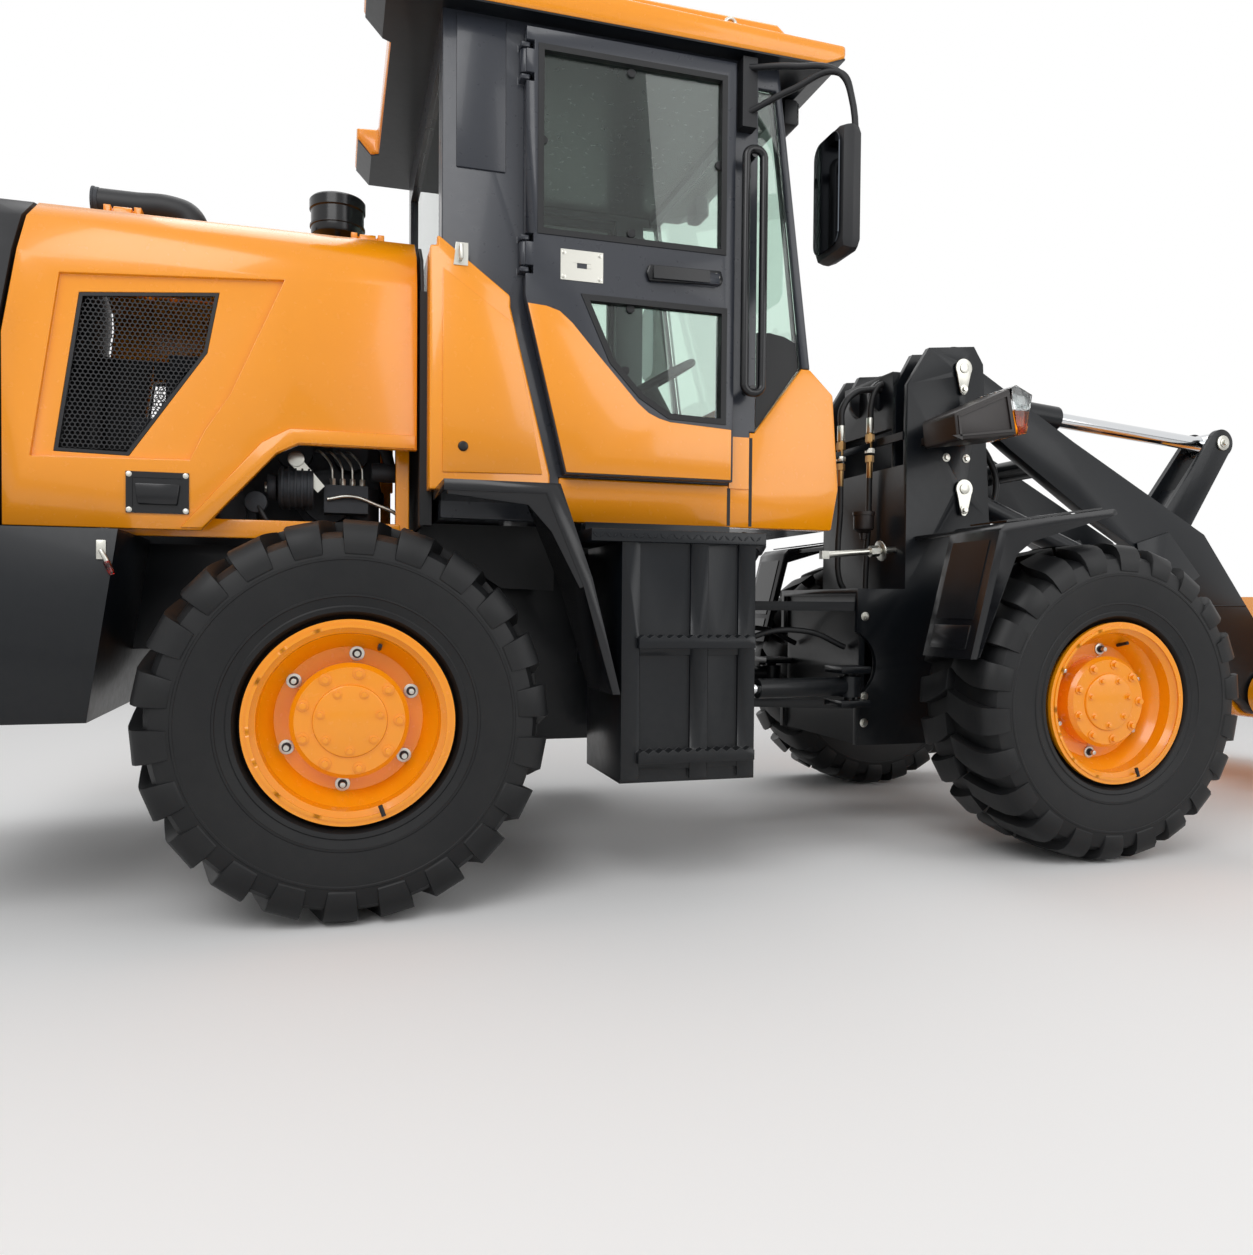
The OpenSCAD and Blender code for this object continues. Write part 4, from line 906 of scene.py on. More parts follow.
# %% Door skins and seals
UPPER = [(550, 1975), (550, 2520), (1140, 2520), (1140, 1975)]
LOWER = [(690, 1790), (1145, 1790), (1145, 1440), (965, 1446), (870, 1503), (776, 1602)]
SKIN = [(512, 1756), (570, 1752), (611, 1740), (650, 1708), (737, 1612), (860, 1480), (895, 1452), (930, 1437),
        (965, 1428), (1172, 1416), (1172, 1256), (634, 1256)]
for side, sign in SIDES:
    skin = bmesh.new()
    add_plate(skin, SKIN, sign * (DOOR_FACE - 1), sign * 6, 0.0025)
    new_piece("door_skin_" + side, skin, orange_enamel, "door_" + side)
    seal = bmesh.new()
    for window in (UPPER, LOWER):
        add_frame(seal, shrink(window, -9), 18, sign * (DOOR_FACE - 1), sign * 4)
        add_frame(seal, window, 9, sign * (DOOR_FACE - 30), sign * 30)
    for x, z in ((835, 2492), (838, 2003), (837, 1772), (822, 1580), (560, 2250), (1128, 2250)):
        add_bar(seal, at(x, sign * (DOOR_FACE - 22), z), at(x, sign * (DOOR_FACE - 8), z), 0.014, segments=24,
                edge=0.003)
    new_piece("window_seals_" + side, seal, dark_rubber_and_painted_shade, "door_" + side)
print("door skins and seals made")

# %% [markdown]
# The handle is a black moulding with a key cylinder, and a blank plate with a slot sits beside it. The plate
# is bare zinc, so that it shines next to the paint.

# %% Door handles and plates
for side, sign in SIDES:
    out = Vector((0, sign, 0))
    handle = bmesh.new()
    add_plate(handle, [(890, 1856), (1130, 1866), (1136, 1885), (1128, 1912), (890, 1908), (880, 1882)],
              sign * (DOOR_FACE - 1), sign * 16, 0.006)
    add_plate(handle, [(900, 1862), (1085, 1866), (1085, 1903), (900, 1900)], sign * (DOOR_FACE + 14),
              sign * 14, 0.006)
    new_piece("door_handle_" + side, handle, gloss_abs, "door_" + side)
    key = bmesh.new()
    add_bar(key, at(1110, sign * (DOOR_FACE + 14), 1889), at(1110, sign * (DOOR_FACE + 19), 1889), 0.012,
            segments=24, edge=0.001)
    plate_line = [(612, 1836), (745, 1836), (745, 1928), (612, 1928)]
    add_frame(key, plate_line, 38, sign * (DOOR_FACE - 1), sign * 3)
    for x, z in ((645, 1882), (712, 1882)):
        add_slab(key, (x - 18, z - 10), (x + 18, z + 10), sign * (DOOR_FACE + 0.5), 0.8, 0.0003)
    for x in (622, 735):
        for z in (1846, 1918):
            add_bolt(key, at(x, sign * (DOOR_FACE + 2), z), out, 0.008, 0.004)
    new_piece("door_plate_" + side, key, zinc_plate, "door_" + side)
print("door handles and plates made")

# %% [markdown]
# ## Cab frame
# The roof's underside is lined with dark sheet, seen from below at the overhangs. It is a thin plate under
# the roof, with slanted plates under the two ears at the rear and under the visor.

# %% Roof lining
lining = bmesh.new()
LINING = [(100, -697), (1480, -697), (1480, 697), (100, 697), (100, 418), (128, 402), (128, -402), (100, -418)]
add_prism(lining, [at(x, y, 2606) for x, y in LINING], Vector((0, 0, 0.006)))
for low, high in ((-697, -420), (420, 697)):
    ear = [(49, 2660), (100, 2606), (104, 2610), (53, 2664)]
    add_plate(lining, ear, low, high - low)
visor = [(1478, 2606), (1551, 2634), (1551, 2640), (1478, 2612)]
add_plate(lining, visor, -697, 1394)
new_piece("roof_lining", lining, frame_enamel, "rear_frame")
print("roof lined")

# %% [markdown]
# The rear pillar is a folded sheet with a flat raised face. The covers behind the doors have a raised panel,
# a round lock and a shackle for a padlock. The panels are thin plates laid on the solids, with edges as soft
# as a pressed fold.

# %% Pillars and side covers
pillars = bmesh.new()
covers = bmesh.new()
locks = bmesh.new()
shackles = bmesh.new()
for side, sign in SIDES:
    add_plate(pillars, [(303, 2148), (450, 2148), (450, 2596), (303, 2596)], sign * (CAB_SIDE - 1), sign * 6,
              0.003)
    add_plate(covers, [(262, 1240), (560, 1246), (470, 1690), (262, 1835)], sign * (DOOR_FACE - 2), sign * 5,
              0.003)
    add_plate(covers, [(1183, 1235), (1252, 1235), (1252, 1402), (1183, 1402)], sign * (CAB_SIDE - 1), sign * 5,
              0.002)
    add_bar(locks, at(322, sign * (DOOR_FACE + 2), 1318), at(322, sign * (DOOR_FACE + 9), 1318), 0.016, 0.013,
            edge=0.002)
    for z in (1862, 1896):
        add_bar(shackles, at(312, sign * (DOOR_FACE - 2), z), at(312, sign * (DOOR_FACE + 22), z), 0.006,
                segments=12)
    add_bar(shackles, at(312, sign * (DOOR_FACE + 20), 1858), at(312, sign * (DOOR_FACE + 20), 1900), 0.006,
            segments=12)
    add_plate(shackles, [(292, 1846), (334, 1846), (334, 1912), (300, 1912)], sign * (DOOR_FACE - 2), sign * 4,
              0.001)
new_piece("pillar_faces", pillars, cab_enamel, "rear_frame")
new_piece("cover_panels", covers, orange_enamel, "rear_frame")
new_piece("cover_locks", locks, gloss_abs, "rear_frame")
new_piece("cover_shackles", shackles, zinc_plate, "rear_frame")
print("pillars and covers dressed")

# %% [markdown]
# A dark band is printed on the foot of the corner pane beside the windscreen, and narrow dark seams run where
# the cowl's sheets meet. Bands could be painted by the material, but a thin plate has a sharper edge. Four
# bent eyes on the roof serve for lifting.

# %% Printed bands and roof eyes
bands = bmesh.new()
eyes = bmesh.new()
for sign in (-1, 1):
    band = [(1281, 1430), (1281, 1748), (1330, 1752), (1380, 1744), (1422, 1726), (1433, 1642)]
    add_plate(bands, band, sign * (CAB_SIDE - 15.2), sign * 1.2)
    for x in (420, 1165):
        ring = [at(x + 17 * math.cos(math.radians(a)), sign * 655, 2706 + 17 * math.sin(math.radians(a)))
                for a in range(-40, 221, 20)]
        for first, last in zip(ring[:-1], ring[1:]):
            add_bar(eyes, first, last, 0.006, segments=12)
    for x, top in ((1178, 1236), (1254, 1402)):
        add_plate(bands, [(x, 1114), (x + 11, 1114), (x + 11, top), (x, top)], sign * (CAB_SIDE - 1),
                  sign * 1.8)
new_piece("printed_bands", bands, dark_rubber_and_painted_shade, "rear_frame")
new_piece("roof_eyes", eyes, zinc_plate, "rear_frame")
print("bands and eyes made")

# %% [markdown]
# A mirror hangs from two bent tubes. Its housing is a moulded shell with a large radius, and the glass in it
# faces back. The shell is a block with a wide bevel, and the glass a thin plate with round corners, laid on
# the shell's face.

# %% Mirrors
MIRROR_Y = 880
GLASS_CORNER = 40
for side, sign in SIDES:
    shell = bmesh.new()
    add_slab(shell, (1392, 1915), (1470, 2300), sign * MIRROR_Y, 95, 0.036)
    add_slab(shell, (1200, 2380), (1250, 2600), sign * 658, 22, 0.01)
    for z in (2270, 2090, 1960):
        add_bar(shell, at(1430, sign * MIRROR_Y, z), at(1478, sign * MIRROR_Y, z), 0.02, segments=16,
                edge=0.003)
    shell_piece = new_piece("mirror_shell_" + side, shell, matt_abs, "rear_frame")
    glass = bmesh.new()
    face = []
    for a, b, start in ((1, 1, 0), (-1, 1, 90), (-1, -1, 180), (1, -1, 270)):
        for turn in range(start, start + 91, 15):
            y, z = (GLASS_CORNER * way(math.radians(turn)) for way in (math.cos, math.sin))
            face.append(at(1389, sign * MIRROR_Y + 38 * a + y, 2108 + 130 * b + z))
    add_prism(glass, face, Vector((0.0035, 0, 0)))
    new_piece("mirror_glass_" + side, glass, mirror_silver, "rear_frame")
    for name, z in (("upper", 2570), ("lower", 2430)):
        hose("mirror_arm_%s_%s" % (name, side),
             [(1225, sign * 672, z), (1330, sign * 770, (z + 2510) / 2), (1440, sign * 865, 2490),
              (1472, sign * MIRROR_Y, 2420), (1476, sign * MIRROR_Y, 2100), (1476, sign * MIRROR_Y, 1960)],
             0.02, "rear_frame", matt_abs)
    if side == "right":
        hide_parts("mirrors")
print("mirrors made")

# %% [markdown]
# The grab rail in front of each door is one steel tube, bent into a long closed loop and coated in black. Two
# stand-offs weld it to the pillar. A closed curve with round corners gives the bends.

# %% Grab rails
RAIL_Y = 700
rails = bmesh.new()
for side, sign in SIDES:
    corner = [(math.cos(math.radians(a)), math.sin(math.radians(a))) for a in range(0, 91, 15)]
    loop = []
    for x, z, turn in ((1240, 2275, 0), (1232, 2275, 1), (1232, 1560, 2), (1240, 1560, 3)):
        for c, k in corner:
            dx, dz = ((c, k), (-k, c), (-c, -k), (k, -c))[turn]
            loop.append((x + 26 * dx, sign * RAIL_Y, z + 26 * dz))
    tube = hose("grab_loop_" + side, loop, 0.027, "rear_frame", gloss_abs)
    tube.data.splines[0].use_cyclic_u = True
    for z in (1548, 2288):
        add_bar(rails, at(1236, sign * (CAB_SIDE - 2), z), at(1236, sign * RAIL_Y, z), 0.011, segments=20)
rail_piece = new_piece("grab_stand_offs", rails, gloss_abs, "rear_frame")
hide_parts("grab_rails")
print("grab rails bent")

# %% [markdown]
# ## Lamps
# A headlamp on its stalk is a brown-black moulding with a sunk side panel. At its front a fluted clear lens
# stands over an amber one. Each lens is built as ten narrow slices side by side, so that its wide flutes
# catch the light as real ones do.

# %% Headlamps
for side, sign in SIDES:
    body = bmesh.new()
    profile = [(2056, 1538), (2068, 1450), (2076, 1448), (2322, 1480), (2288, 1646), (2064, 1548)]
    add_plate(body, profile, sign * 594, -sign * 200, 0.008)
    add_frame(body, shrink(profile, 13), 9, sign * 594, sign * 5)
    add_slab(body, (2100, 1470), (2160, 1500), sign * 362, 38, 0.004)
    body_piece = new_piece("headlamp_body_" + side, body, lamp_abs, "front_frame")
    halves = (("clear", clear_lens, [(2291, 1648), (2314, 1660), (2384, 1629), (2376, 1574), (2306, 1574)]),
              ("amber", amber_lens, [(2307, 1570), (2375, 1570), (2363, 1488), (2324, 1482)]))
    for name, finish, corners in halves:
        lens = bmesh.new()
        for i in range(10):
            add_plate(lens, corners, sign * (595 - 20 * i), -sign * 19.2, 0.003)
        new_piece("headlamp_%s_%s" % (name, side), lens, finish, "front_frame")
    if side == "right":
        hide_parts("headlights")
print("headlamps made")

# %% [markdown]
# The work lamps under the roof and the rear lamps are small sealed units: a housing and a lens that stands a
# little proud of it. Two bevelled blocks are enough for each.

# %% Work lamps and rear lamps
housings = bmesh.new()
white = bmesh.new()
red = bmesh.new()
for side, sign in SIDES:
    middle = at(1470, sign * 420, 2560)
    add_block(housings, middle - Vector((0.03, 0.06, 0.045)), middle + Vector((0.024, 0.06, 0.045)), 0.012)
    add_block(white, middle + Vector((0.022, -0.052, -0.037)), middle + Vector((0.03, 0.052, 0.037)), 0.003)
    middle = at(-1162, sign * 490, 1175)
    add_block(housings, middle - Vector((0.01, 0.05, 0.055)), middle + Vector((0.012, 0.05, 0.055)), 0.004)
    add_block(red, middle - Vector((0.014, 0.044, 0.049)), middle + Vector((-0.009, 0.044, 0.049)), 0.003)
housing_piece = new_piece("lamp_housings", housings, matt_abs, "rear_frame")
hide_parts("lamps")
new_piece("work_lamp_lenses", white, clear_lens, "rear_frame")
new_piece("rear_lamp_lenses", red, red_lens, "rear_frame")
print("work lamps and rear lamps made")

# %% [markdown]
# ## Steps and platform
# The platform beside the door is checker plate: raised lozenges in two slants on its top and along its folded
# edge. A bump map would vanish at this low angle of view, so each lozenge is five small faces.

# %% Checker plate
checker = bmesh.new()


def add_lozenge(bm, centre, along, across, up, length=0.024, width=0.007, height=0.0018):
    tip = [along * length / 2, across * width / 2, -along * length / 2, -across * width / 2]
    low = [bm.verts.new(centre + p) for p in tip]
    high = [bm.verts.new(centre + p * 0.6 + up * height) for p in tip]
    bm.faces.new(high)
    for i in range(4):
        bm.faces.new((low[i], low[(i + 1) % 4], high[(i + 1) % 4], high[i]))


for side, sign in SIDES:
    for row in range(9):
        for column in range(18):
            slant = Vector((1, 1 if (row + column) % 2 else -1, 0)).normalized()
            add_lozenge(checker, at(665 + 30 * column, sign * (660 + 30 * row), 1070), slant,
                        Vector((-slant.y, slant.x, 0)), Vector((0, 0, 1)))
    for column in range(26):
        slant = Vector((1, 0, 1 if column % 2 else -1)).normalized()
        add_lozenge(checker, at(660 + 20 * column, sign * 925, 1052), slant, Vector((-slant.z, 0, slant.x)),
                    Vector((0, sign, 0)), 0.022)
new_piece("checker_plate", checker, frame_enamel, "rear_frame")
print("lozenges:", len(bpy.data.meshes["checker_plate"].polygons) // 5)

# %% [markdown]
# ## Pins, pipes and hoses
# Teardrop keeper plates stop the loader's pins from turning; each is held by one bolt. The outline is an arc
# with a short tail, extruded as thick as the plate.

# %% Pin keepers
keepers = bmesh.new()
for side, sign in SIDES:
    out = Vector((0, sign, 0))
    for x, z in ((2275, 1775), (2285, 1313)):
        drop = [(x + 36 * math.cos(math.radians(a)), z + 36 * math.sin(math.radians(a)))
                for a in range(-30, 211, 15)]
        tail = [(x - 14, z - 92), (x - 6, z - 102), (x + 6, z - 102), (x + 14, z - 92)]
        add_plate(keepers, drop + tail, sign * (TOWER_SIDE + 9), sign * 8, 0.0015)
        add_bar(keepers, at(x, sign * (TOWER_SIDE + 16), z), at(x, sign * (TOWER_SIDE + 21), z), 0.02,
                segments=24, edge=0.002)
        add_bolt(keepers, at(x, sign * (TOWER_SIDE + 17), z - 80), out, 0.02)
    for x in (2212, 2301):
        add_bolt(keepers, at(x, sign * TOWER_SIDE, 1432), out, 0.02)
    for z in (420, 520, 820):
        add_bolt(keepers, at(1870, sign * TOWER_SIDE, z), out, 0.02)
new_piece("pin_keepers", keepers, zinc_plate, "front_frame")
print("pin keepers made")

# %% [markdown]
# Two hydraulic lines climb the tower through brass fittings and steel unions that stand in a small rack. A
# fitting is a stack of bars, round where the pipe goes in and six-sided where the wrench grips.

# %% Fittings, risers and drops
fittings = bmesh.new()
unions = bmesh.new()
for x, top in ((1885, 1572), (2014, 1611)):
    for low, high, radius, segments, mesh in (
            (-240, -160, 12, 20, fittings), (-176, -150, 17, 6, fittings), (-140, -122, 19, 6, unions),
            (-120, -60, 13, 20, fittings), (-96, -66, 18, 6, fittings), (-60, 0, 15, 24, unions)):
        add_bar(mesh, at(x, -100, top + low), at(x, -100, top + high), radius / 1000, segments=segments,
                edge=0.001)
new_piece("brass_fittings", fittings, brass, "front_frame")
new_piece("steel_unions", unions, zinc_plate, "front_frame")
rack = bmesh.new()
add_plate(rack, [(1852, 1436), (2050, 1498), (2050, 1524), (1852, 1462)], -112, 24, 0.002)
add_block(rack, at(2036, -300, 1496), at(2048, -95, 1526), 0.002)
new_piece("fitting_rack", rack, frame_enamel, "front_frame")
hose("riser_left", [(1885, -100, 1565), (1890, -100, 1640), (1944, -100, 1706), (2000, -100, 1722),
                    (2064, -100, 1728)], 0.026, "front_frame")
hose("riser_right", [(2014, -100, 1604), (2016, -102, 1660), (2030, -106, 1716), (2050, -110, 1742),
                     (2066, -112, 1746)], 0.026, "front_frame")
hose("drop_left", [(1885, -100, 1340), (1884, -100, 1220), (1874, -104, 1080), (1880, -110, 960),
                   (1900, -112, 922)], 0.024, "front_frame")
hose("drop_right", [(2014, -100, 1378), (2012, -100, 1220), (2002, -104, 1060), (1996, -108, 922)], 0.024,
     "front_frame")
print("fittings and lines made")

# %% [markdown]
# A small fluid pot stands in the tower, and a threaded bar with a nut and a round washer can be set to lock
# the frames. The pot is spun like the pre-cleaner; the bar is a row of cylinders on one line.

# %% Fluid pot and lock bar
pot = bmesh.new()
add_turned(pot, at(1950, -170, 1120), [(0, 0), (12, 0), (16, 24), (38, 40), (40, 46), (40, 92), (43, 94),
                                       (43, 108), (0, 110)])
new_piece("fluid_pot", pot, lamp_abs, "front_frame", 25)
lock_bar = bmesh.new()
add_bar(lock_bar, at(1745, -250, 1052), at(2042, -250, 1078), 0.012, segments=20, edge=0.002)
add_bar(lock_bar, at(1930, -250, 1068), at(1968, -250, 1072), 0.022, segments=6, edge=0.002)
add_bar(lock_bar, at(1976, -250, 1072), at(1981, -250, 1073), 0.040, segments=40, edge=0.001)
add_block(lock_bar, at(1722, -262, 1036), at(1752, -238, 1066), 0.004)
new_piece("lock_bar", lock_bar, zinc_plate, "front_frame")
print("pot and lock bar made")

# %% [markdown]
# Thick hoses loop from the tower to the lift cylinders and towards the hinge. They ride on the front frame
# from end to end, so that no hose has to stretch when the machine steers.

# %% Cylinder hoses
for side, sign in SIDES:
    for i, offset in enumerate((130, 165)):
        y = sign * offset
        hose("lift_hose_%s_%d" % (side, i),
             [(2330, y, 1440 + 30 * i), (2430, y, 1500 + 34 * i), (2520 + 20 * i, y, 1440),
              (2530 + 30 * i, y, 1330), (2500, y, 1200)], 0.026, "front_frame")
    hose("steer_hose_" + side, [(1850, sign * 210, 700), (1700, sign * 190, 760), (1500, sign * 150, 740),
                                (1400, sign * 120, 660), (1350, sign * 100, 600)], 0.022, "front_frame")

# %% [markdown]
# The lever's two plates are tied by cross webs, and its upper pin ends in a washer with a bolt. A weld bead
# crosses each arm where its nose plate joins; a thin bar along the seam reads as one at this distance.

# %% Lever webs, pin ends and weld beads
webs = bmesh.new()
for start, end in (((3545, 1250), (3650, 1400)), ((3560, 1180), (3720, 1410))):
    along = Vector((end[0] - start[0], end[1] - start[1])).normalized()
    side_step = Vector((-along.y, along.x)) * 9
    line = [Vector(start) + side_step, Vector(end) + side_step, Vector(end) - side_step,
            Vector(start) - side_step]
    add_plate(webs, line, -61, 122, 0.002)
new_piece("lever_webs", webs, frame_enamel, "lever")
washers = bmesh.new()
for sign in (-1, 1):
    add_bar(washers, at(3830, sign * 84, 1615), at(3830, sign * 94, 1615), 0.034, segments=32, edge=0.002)
    add_bolt(washers, at(3830, sign * 94, 1615), Vector((0, sign, 0)), 0.024)
new_piece("lever_washers", washers, zinc_plate, "lever")
beads = bmesh.new()
for sign in (-1, 1):
    add_bar(beads, at(3470, sign * 286, 872), at(3758, sign * 286, 874), 0.004, segments=10)
new_piece("weld_beads", beads, frame_enamel, "boom")
print("lever and boom dressed")

# %% [markdown]
# A front fender is moulded in one piece. Two raised fields stiffen its rear panel, and a thin ridge runs
# along the top. They are prisms laid on the fender's slant, which is easier than to inset its faces.

# %% Front fender fields
fields = bmesh.new()
foot, head = Vector((1905, 690)), Vector((2007, 1104))
lean = (head - foot).normalized()
for side, sign in SIDES:
    outward = Vector((-lean.y, 0, lean.x)) * 0.006
    for low, high in ((0.07, 0.26), (0.31, 0.93)):
        first, last = foot + (head - foot) * low, foot + (head - foot) * high
        quad = [at(p.x, sign * y, p.y) for p, y in ((first, 685), (first, 880), (last, 880), (last, 685))]
        add_prism(fields, [p - outward * 0.2 for p in quad], outward, 0.004)
    ridge = [(2060, 1136), (2440, 1191), (2440, 1197), (2060, 1142)]
    add_plate(fields, ridge, sign * 690, sign * 190, 0.002)
new_piece("fender_fields", fields, gloss_abs, "front_frame")
print("fender fields made")

# %% [markdown]
# ## Engine bay
# Between the hood's arch and the tyre a part of the engine shows. An alternator with its fan and a pump stand
# in front of the castings, as they do on a diesel engine of this size. Only turned and blocky forms show
# through the gap, so bars and blocks with soft edges make them.

# %% Alternator and pump
PUMP_X = [-45 + 30 * i for i in range(4)]
iron = bmesh.new()
bright = bmesh.new()
for sign in (-1, 1):
    add_bar(iron, at(-200, sign * 450, 1200), at(-100, sign * 450, 1200), 0.060, segments=40, edge=0.006)
    for i in range(5):
        add_bar(iron, at(-192 + 19 * i, sign * 450, 1200), at(-186 + 19 * i, sign * 450, 1200), 0.065,
                segments=40, edge=0.001)
    add_bar(iron, at(-232, sign * 450, 1200), at(-206, sign * 450, 1200), 0.040, segments=32, edge=0.004)
    add_bar(bright, at(-240, sign * 450, 1200), at(-230, sign * 450, 1200), 0.016, segments=20, edge=0.002)
    add_plate(bright, [(-160, 1262), (-132, 1282), (-68, 1206), (-88, 1186)], sign * 470, sign * 12, 0.003)
    add_bar(bright, at(-150, sign * 466, 1284), at(-150, sign * 488, 1284), 0.024, segments=24, edge=0.002)
    add_slab(iron, (-70, 1130), (60, 1215), sign * 400, 50, 0.010)
    for x in PUMP_X:
        add_bar(bright, at(x, sign * 400, 1212), at(x, sign * 400, 1240), 0.010, segments=6, edge=0.001)
    add_bar(iron, at(70, sign * 420, 1262), at(150, sign * 420, 1262), 0.030, segments=32, edge=0.006)
    add_bar(iron, at(-262, sign * 470, 1150), at(-262, sign * 500, 1150), 0.032, segments=32, edge=0.004)
new_piece("engine_auxiliaries", iron, cast_iron, "rear_frame")
new_piece("engine_bright_work", bright, zinc_plate, "rear_frame")
print("alternator and pump made")

# %% [markdown]
# Thin fuel pipes rise from the pump, a return pipe and a coolant hose pass behind it, and a cable drops from
# the starter. Steel pipes and rubber hoses are the same curve with another finish and diameter.

# %% Engine pipes and cables
for side, sign in SIDES:
    for i, x in enumerate(PUMP_X):
        hose("fuel_pipe_%s_%d" % (side, i),
             [(x, sign * 400, 1238), (x - 4, sign * 402, 1280), (x - 30, sign * 380, 1318),
              (x - 50, sign * 320, 1335)], 0.008, "rear_frame", zinc_plate)
    hose("return_pipe_" + side, [(-60, sign * 455, 1170), (10, sign * 462, 1180), (80, sign * 450, 1160),
                                 (160, sign * 440, 1120), (185, sign * 420, 1060)],
         0.012, "rear_frame", zinc_plate)
    hose("coolant_hose_" + side, [(70, sign * 330, 1380), (110, sign * 400, 1340), (130, sign * 425, 1262)],
         0.036, "rear_frame")
    hose("starter_cable_" + side, [(-262, sign * 490, 1150), (-240, sign * 500, 1110), (-215, sign * 480, 1060),
                                   (-210, sign * 430, 1010)], 0.014, "rear_frame")

# %% [markdown]
# ## Inside the cab
# The seat has a sewn cushion and a backrest on a steel pedestal with a bellows. A cloth simulation could puff
# the cushions up, but they are seen only small through the glass. So each starts as a block whose faces are
# divided and crowned, as foam is under cloth, and is smoothed by subdivision.

# %% Seat cushions
def cushion(name, low, high, lean, crown):
    bm = bmesh.new()
    add_block(bm, low, high, 0.0)
    bmesh.ops.subdivide_edges(bm, edges=list(bm.edges), cuts=5, use_grid_fill=True)
    middle, half = (low + high) / 2, (high - low) / 2
    for vert in bm.verts:
        local = Vector([(vert.co[i] - middle[i]) / half[i] for i in range(3)])
        swell = [(1 - local[(i + 1) % 3] ** 2) * (1 - local[(i + 2) % 3] ** 2) for i in range(3)]
        vert.co += Vector([crown * local[i] * swell[i] - 0.012 * local[i] * (1 - swell[i]) for i in range(3)])
        vert.co.x -= lean * (vert.co.z - low.z)
    obj = new_piece(name, bm, seat_cloth, "rear_frame", 80)
    smooth = obj.modifiers.new("smooth", "SUBSURF")
    smooth.levels = smooth.render_levels = 2
    return obj


seat_piece = cushion("seat_cushion", at(520, -245, 1335), at(975, 245, 1450), 0.0, 0.018)
cushion("seat_back", at(480, -235, 1455), at(605, 235, 2050), 0.10, 0.018)
pedestal = bmesh.new()
add_block(pedestal, at(575, -190, 1158), at(850, 190, 1320), 0.015)
for i in range(5):
    z = 1180 + 26 * i
    add_block(pedestal, at(565, -205, z), at(862, 205, z + 14), 0.006)
new_piece("seat_pedestal", pedestal, matt_abs, "rear_frame")
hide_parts("seat")
print("cushions made")

# %% [markdown]
# ## Small parts at the rear
# The fuel filler ends in a screw cap, a short bar on the neck's own axis. A zinc lever with a red grip locks
# the battery box beside the ballast.

# %% Filler cap and ballast latch
cap = bmesh.new()
cap_way = (at(1310, -550, 1075) - at(1222, -550, 930)).normalized()
cap_foot = at(1310, -550, 1075)
add_bar(cap, cap_foot - cap_way * 0.03, cap_foot + cap_way * 0.004, 0.049, segments=32, edge=0.003)
new_piece("filler_cap", cap, matt_abs, "rear_frame")
latch = bmesh.new()
grip = bmesh.new()
for sign in (-1, 1):
    add_slab(latch, (-625, 960), (-602, 1010), sign * 791, 4, 0.002)
    add_bar(latch, at(-614, sign * 797, 985), at(-596, sign * 801, 950), 0.006, segments=12)
    add_bar(grip, at(-600, sign * 800, 955), at(-586, sign * 803, 922), 0.009, 0.007, segments=16, edge=0.002)
new_piece("ballast_latch", latch, zinc_plate, "rear_frame")
new_piece("latch_grip", grip, red_lens, "rear_frame")
print("rear details made")

# %% [markdown]
# ## Camera, floor and light
# The camera stands at the machine's right side, near the rear wheel, and looks slightly forward. Its place
# and aim were fitted to the two wheels' ellipses and to the cab's upright edges in the photograph.

# %% Camera
IMAGE_W, IMAGE_H = 1253, 1255
FOCAL_PX = 980.645
CAMERA_STATION = (-51, -3590, 851)
YAW, PITCH_UP, ROLL = (math.radians(v) for v in (16.81, -1.241, 0.467))
ahead = Vector((math.sin(YAW), math.cos(YAW), 0))
across = Vector((math.cos(YAW), -math.sin(YAW), 0))
view = math.cos(PITCH_UP) * ahead + math.sin(PITCH_UP) * Vector((0, 0, 1))
above = -math.sin(PITCH_UP) * ahead + math.cos(PITCH_UP) * Vector((0, 0, 1))
right = math.cos(ROLL) * across + math.sin(ROLL) * above
up = -math.sin(ROLL) * across + math.cos(ROLL) * above
camera_data = bpy.data.cameras.new("camera")
camera_data.sensor_width = 36
camera_data.lens = 36 * FOCAL_PX / max(IMAGE_W, IMAGE_H)
camera_data.clip_end = 200
camera = bpy.data.objects.new("camera", camera_data)
bpy.context.collection.objects.link(camera)
pose = Matrix((right, up, -view)).transposed().to_4x4()
pose.translation = at(*CAMERA_STATION)
camera.matrix_world = pose
bpy.context.scene.camera = camera
print("lens in mm:", round(camera_data.lens, 2))

# %% [markdown]
# The floor is a wide pale disc that takes the machine's shadow. It isn't part of the machine, so it rides on
# no body of the frame.

# %% Floor
FLOOR_RADIUS = 40
floor_bm = bmesh.new()
bmesh.ops.create_circle(floor_bm, cap_ends=True, segments=96, radius=FLOOR_RADIUS)
floor_mesh = bpy.data.meshes.new("studio_floor")
floor_bm.to_mesh(floor_mesh)
floor_bm.free()
floor = bpy.data.objects.new("studio_floor", floor_mesh)
bpy.context.collection.objects.link(floor)
floor_finish, _, floor_shader, _ = new_finish("matt_white_floor")
floor_shader.inputs["Base Color"].default_value = linear("#F4F4F4")
floor_shader.inputs["Roughness"].default_value = 0.9
floor_mesh.materials.append(floor_finish)
print("floor radius in m:", FLOOR_RADIUS)

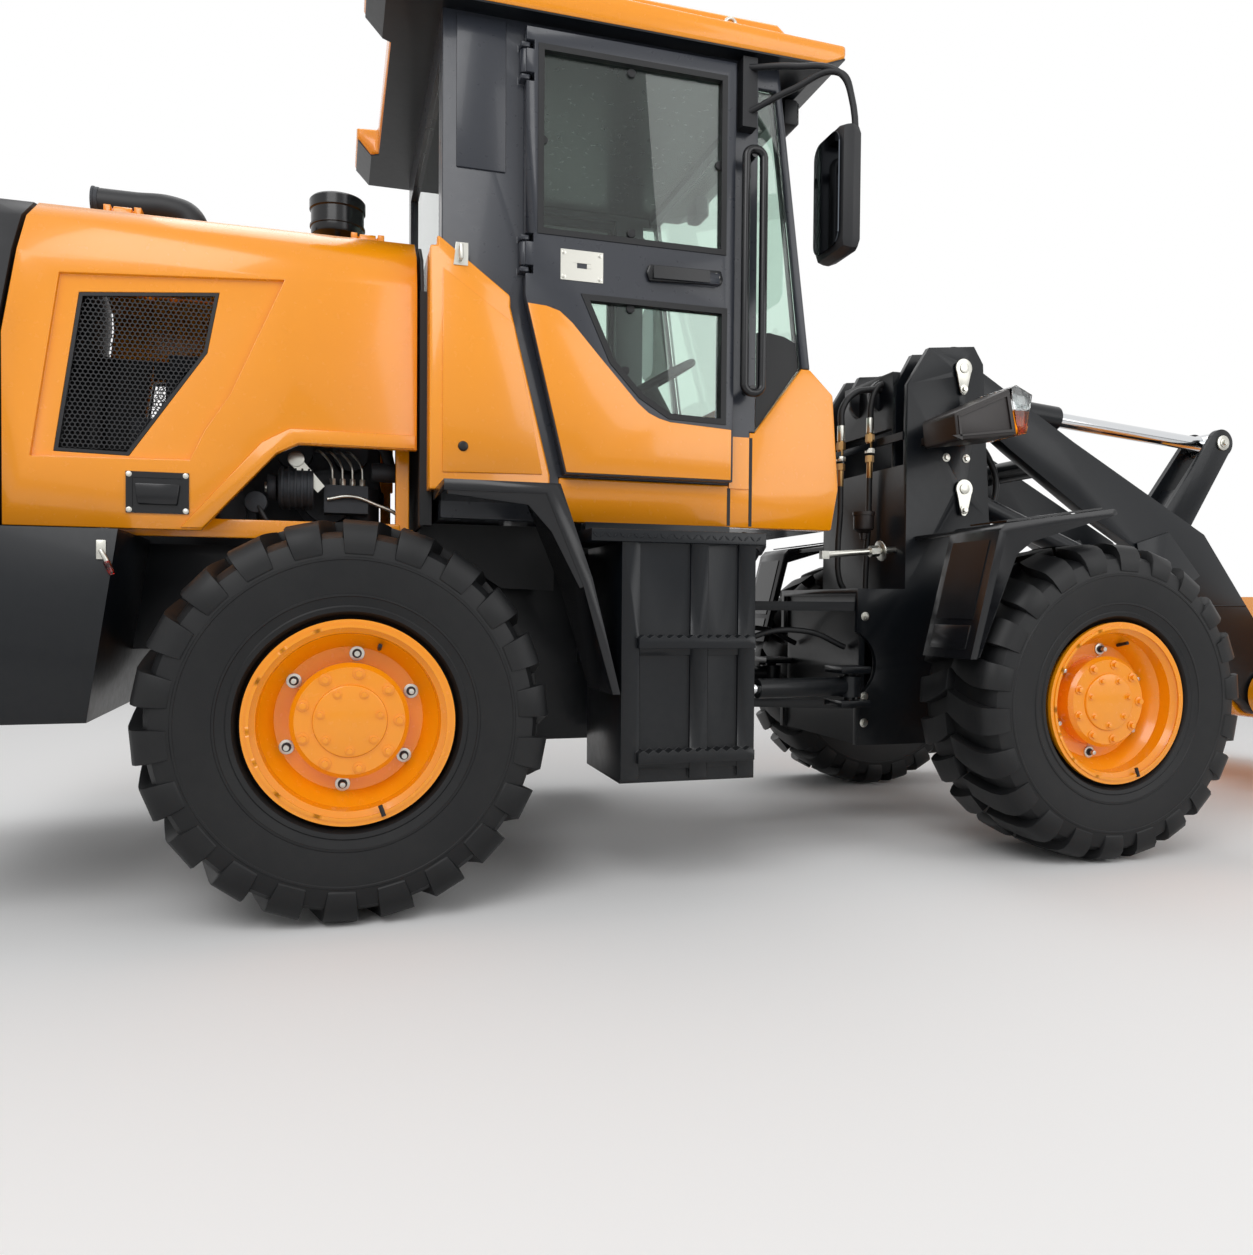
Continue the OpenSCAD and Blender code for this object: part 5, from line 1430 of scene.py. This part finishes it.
# %% [markdown]
# The world is white to the camera, in reflections and through glass, as a studio's backdrop is. What it gives
# as light is less than that, so that a colour renders about as it is written. The light path tells the two
# apart.

# %% World
LIGHT_STRENGTH = 0.42
world = bpy.data.worlds.new("white_studio")
world.use_nodes = True
bpy.context.scene.world = world
sky_tree = world.node_tree
sky_tree.nodes.clear()
rays = add_node(sky_tree, "ShaderNodeLightPath")
bright = add_node(sky_tree, "ShaderNodeMath", {"operation": "MAXIMUM"},
                  {0: rays.outputs["Is Glossy Ray"], 1: rays.outputs["Is Transmission Ray"]})
seen = add_node(sky_tree, "ShaderNodeMath", {"operation": "MAXIMUM"},
                {0: rays.outputs["Is Camera Ray"], 1: bright.outputs["Value"]})
light = add_node(sky_tree, "ShaderNodeBackground",
                 inputs={"Color": linear("#FFFFFF"), "Strength": LIGHT_STRENGTH})
shown = add_node(sky_tree, "ShaderNodeBackground", inputs={"Color": linear("#FFFFFF"), "Strength": 1.0})
both = add_node(sky_tree, "ShaderNodeMixShader",
                inputs={0: seen.outputs["Value"], 1: light.outputs["Background"],
                        2: shown.outputs["Background"]})
add_node(sky_tree, "ShaderNodeOutputWorld", inputs={"Surface": both.outputs["Shader"]})
print("world:", world.name)

# %% [markdown]
# Three large soft lamps give the shapes a little modelling without changing how a colour reads: one from
# behind the camera, one from the front and one from above the far side.

# %% Soft lamps


def soft_lamp(name, place, target, size, watts):
    data = bpy.data.lights.new(name, "AREA")
    data.size = size
    data.energy = watts
    lamp = bpy.data.objects.new(name, data)
    bpy.context.collection.objects.link(lamp)
    lamp.matrix_world = Matrix.Translation(place) @ (target - place).to_track_quat("-Z",
            "Y").to_matrix().to_4x4()


aim = at(1300, 0, 1000)
soft_lamp("key_lamp", at(-2500, -6000, 6500), aim, 5.0, 290)
soft_lamp("side_lamp", at(5500, -6500, 4000), aim, 5.0, 150)
soft_lamp("top_lamp", at(1200, 2500, 8000), aim, 6.0, 180)
bpy.context.scene.view_settings.view_transform = "Standard"
print("lamps:", len(bpy.data.lights))
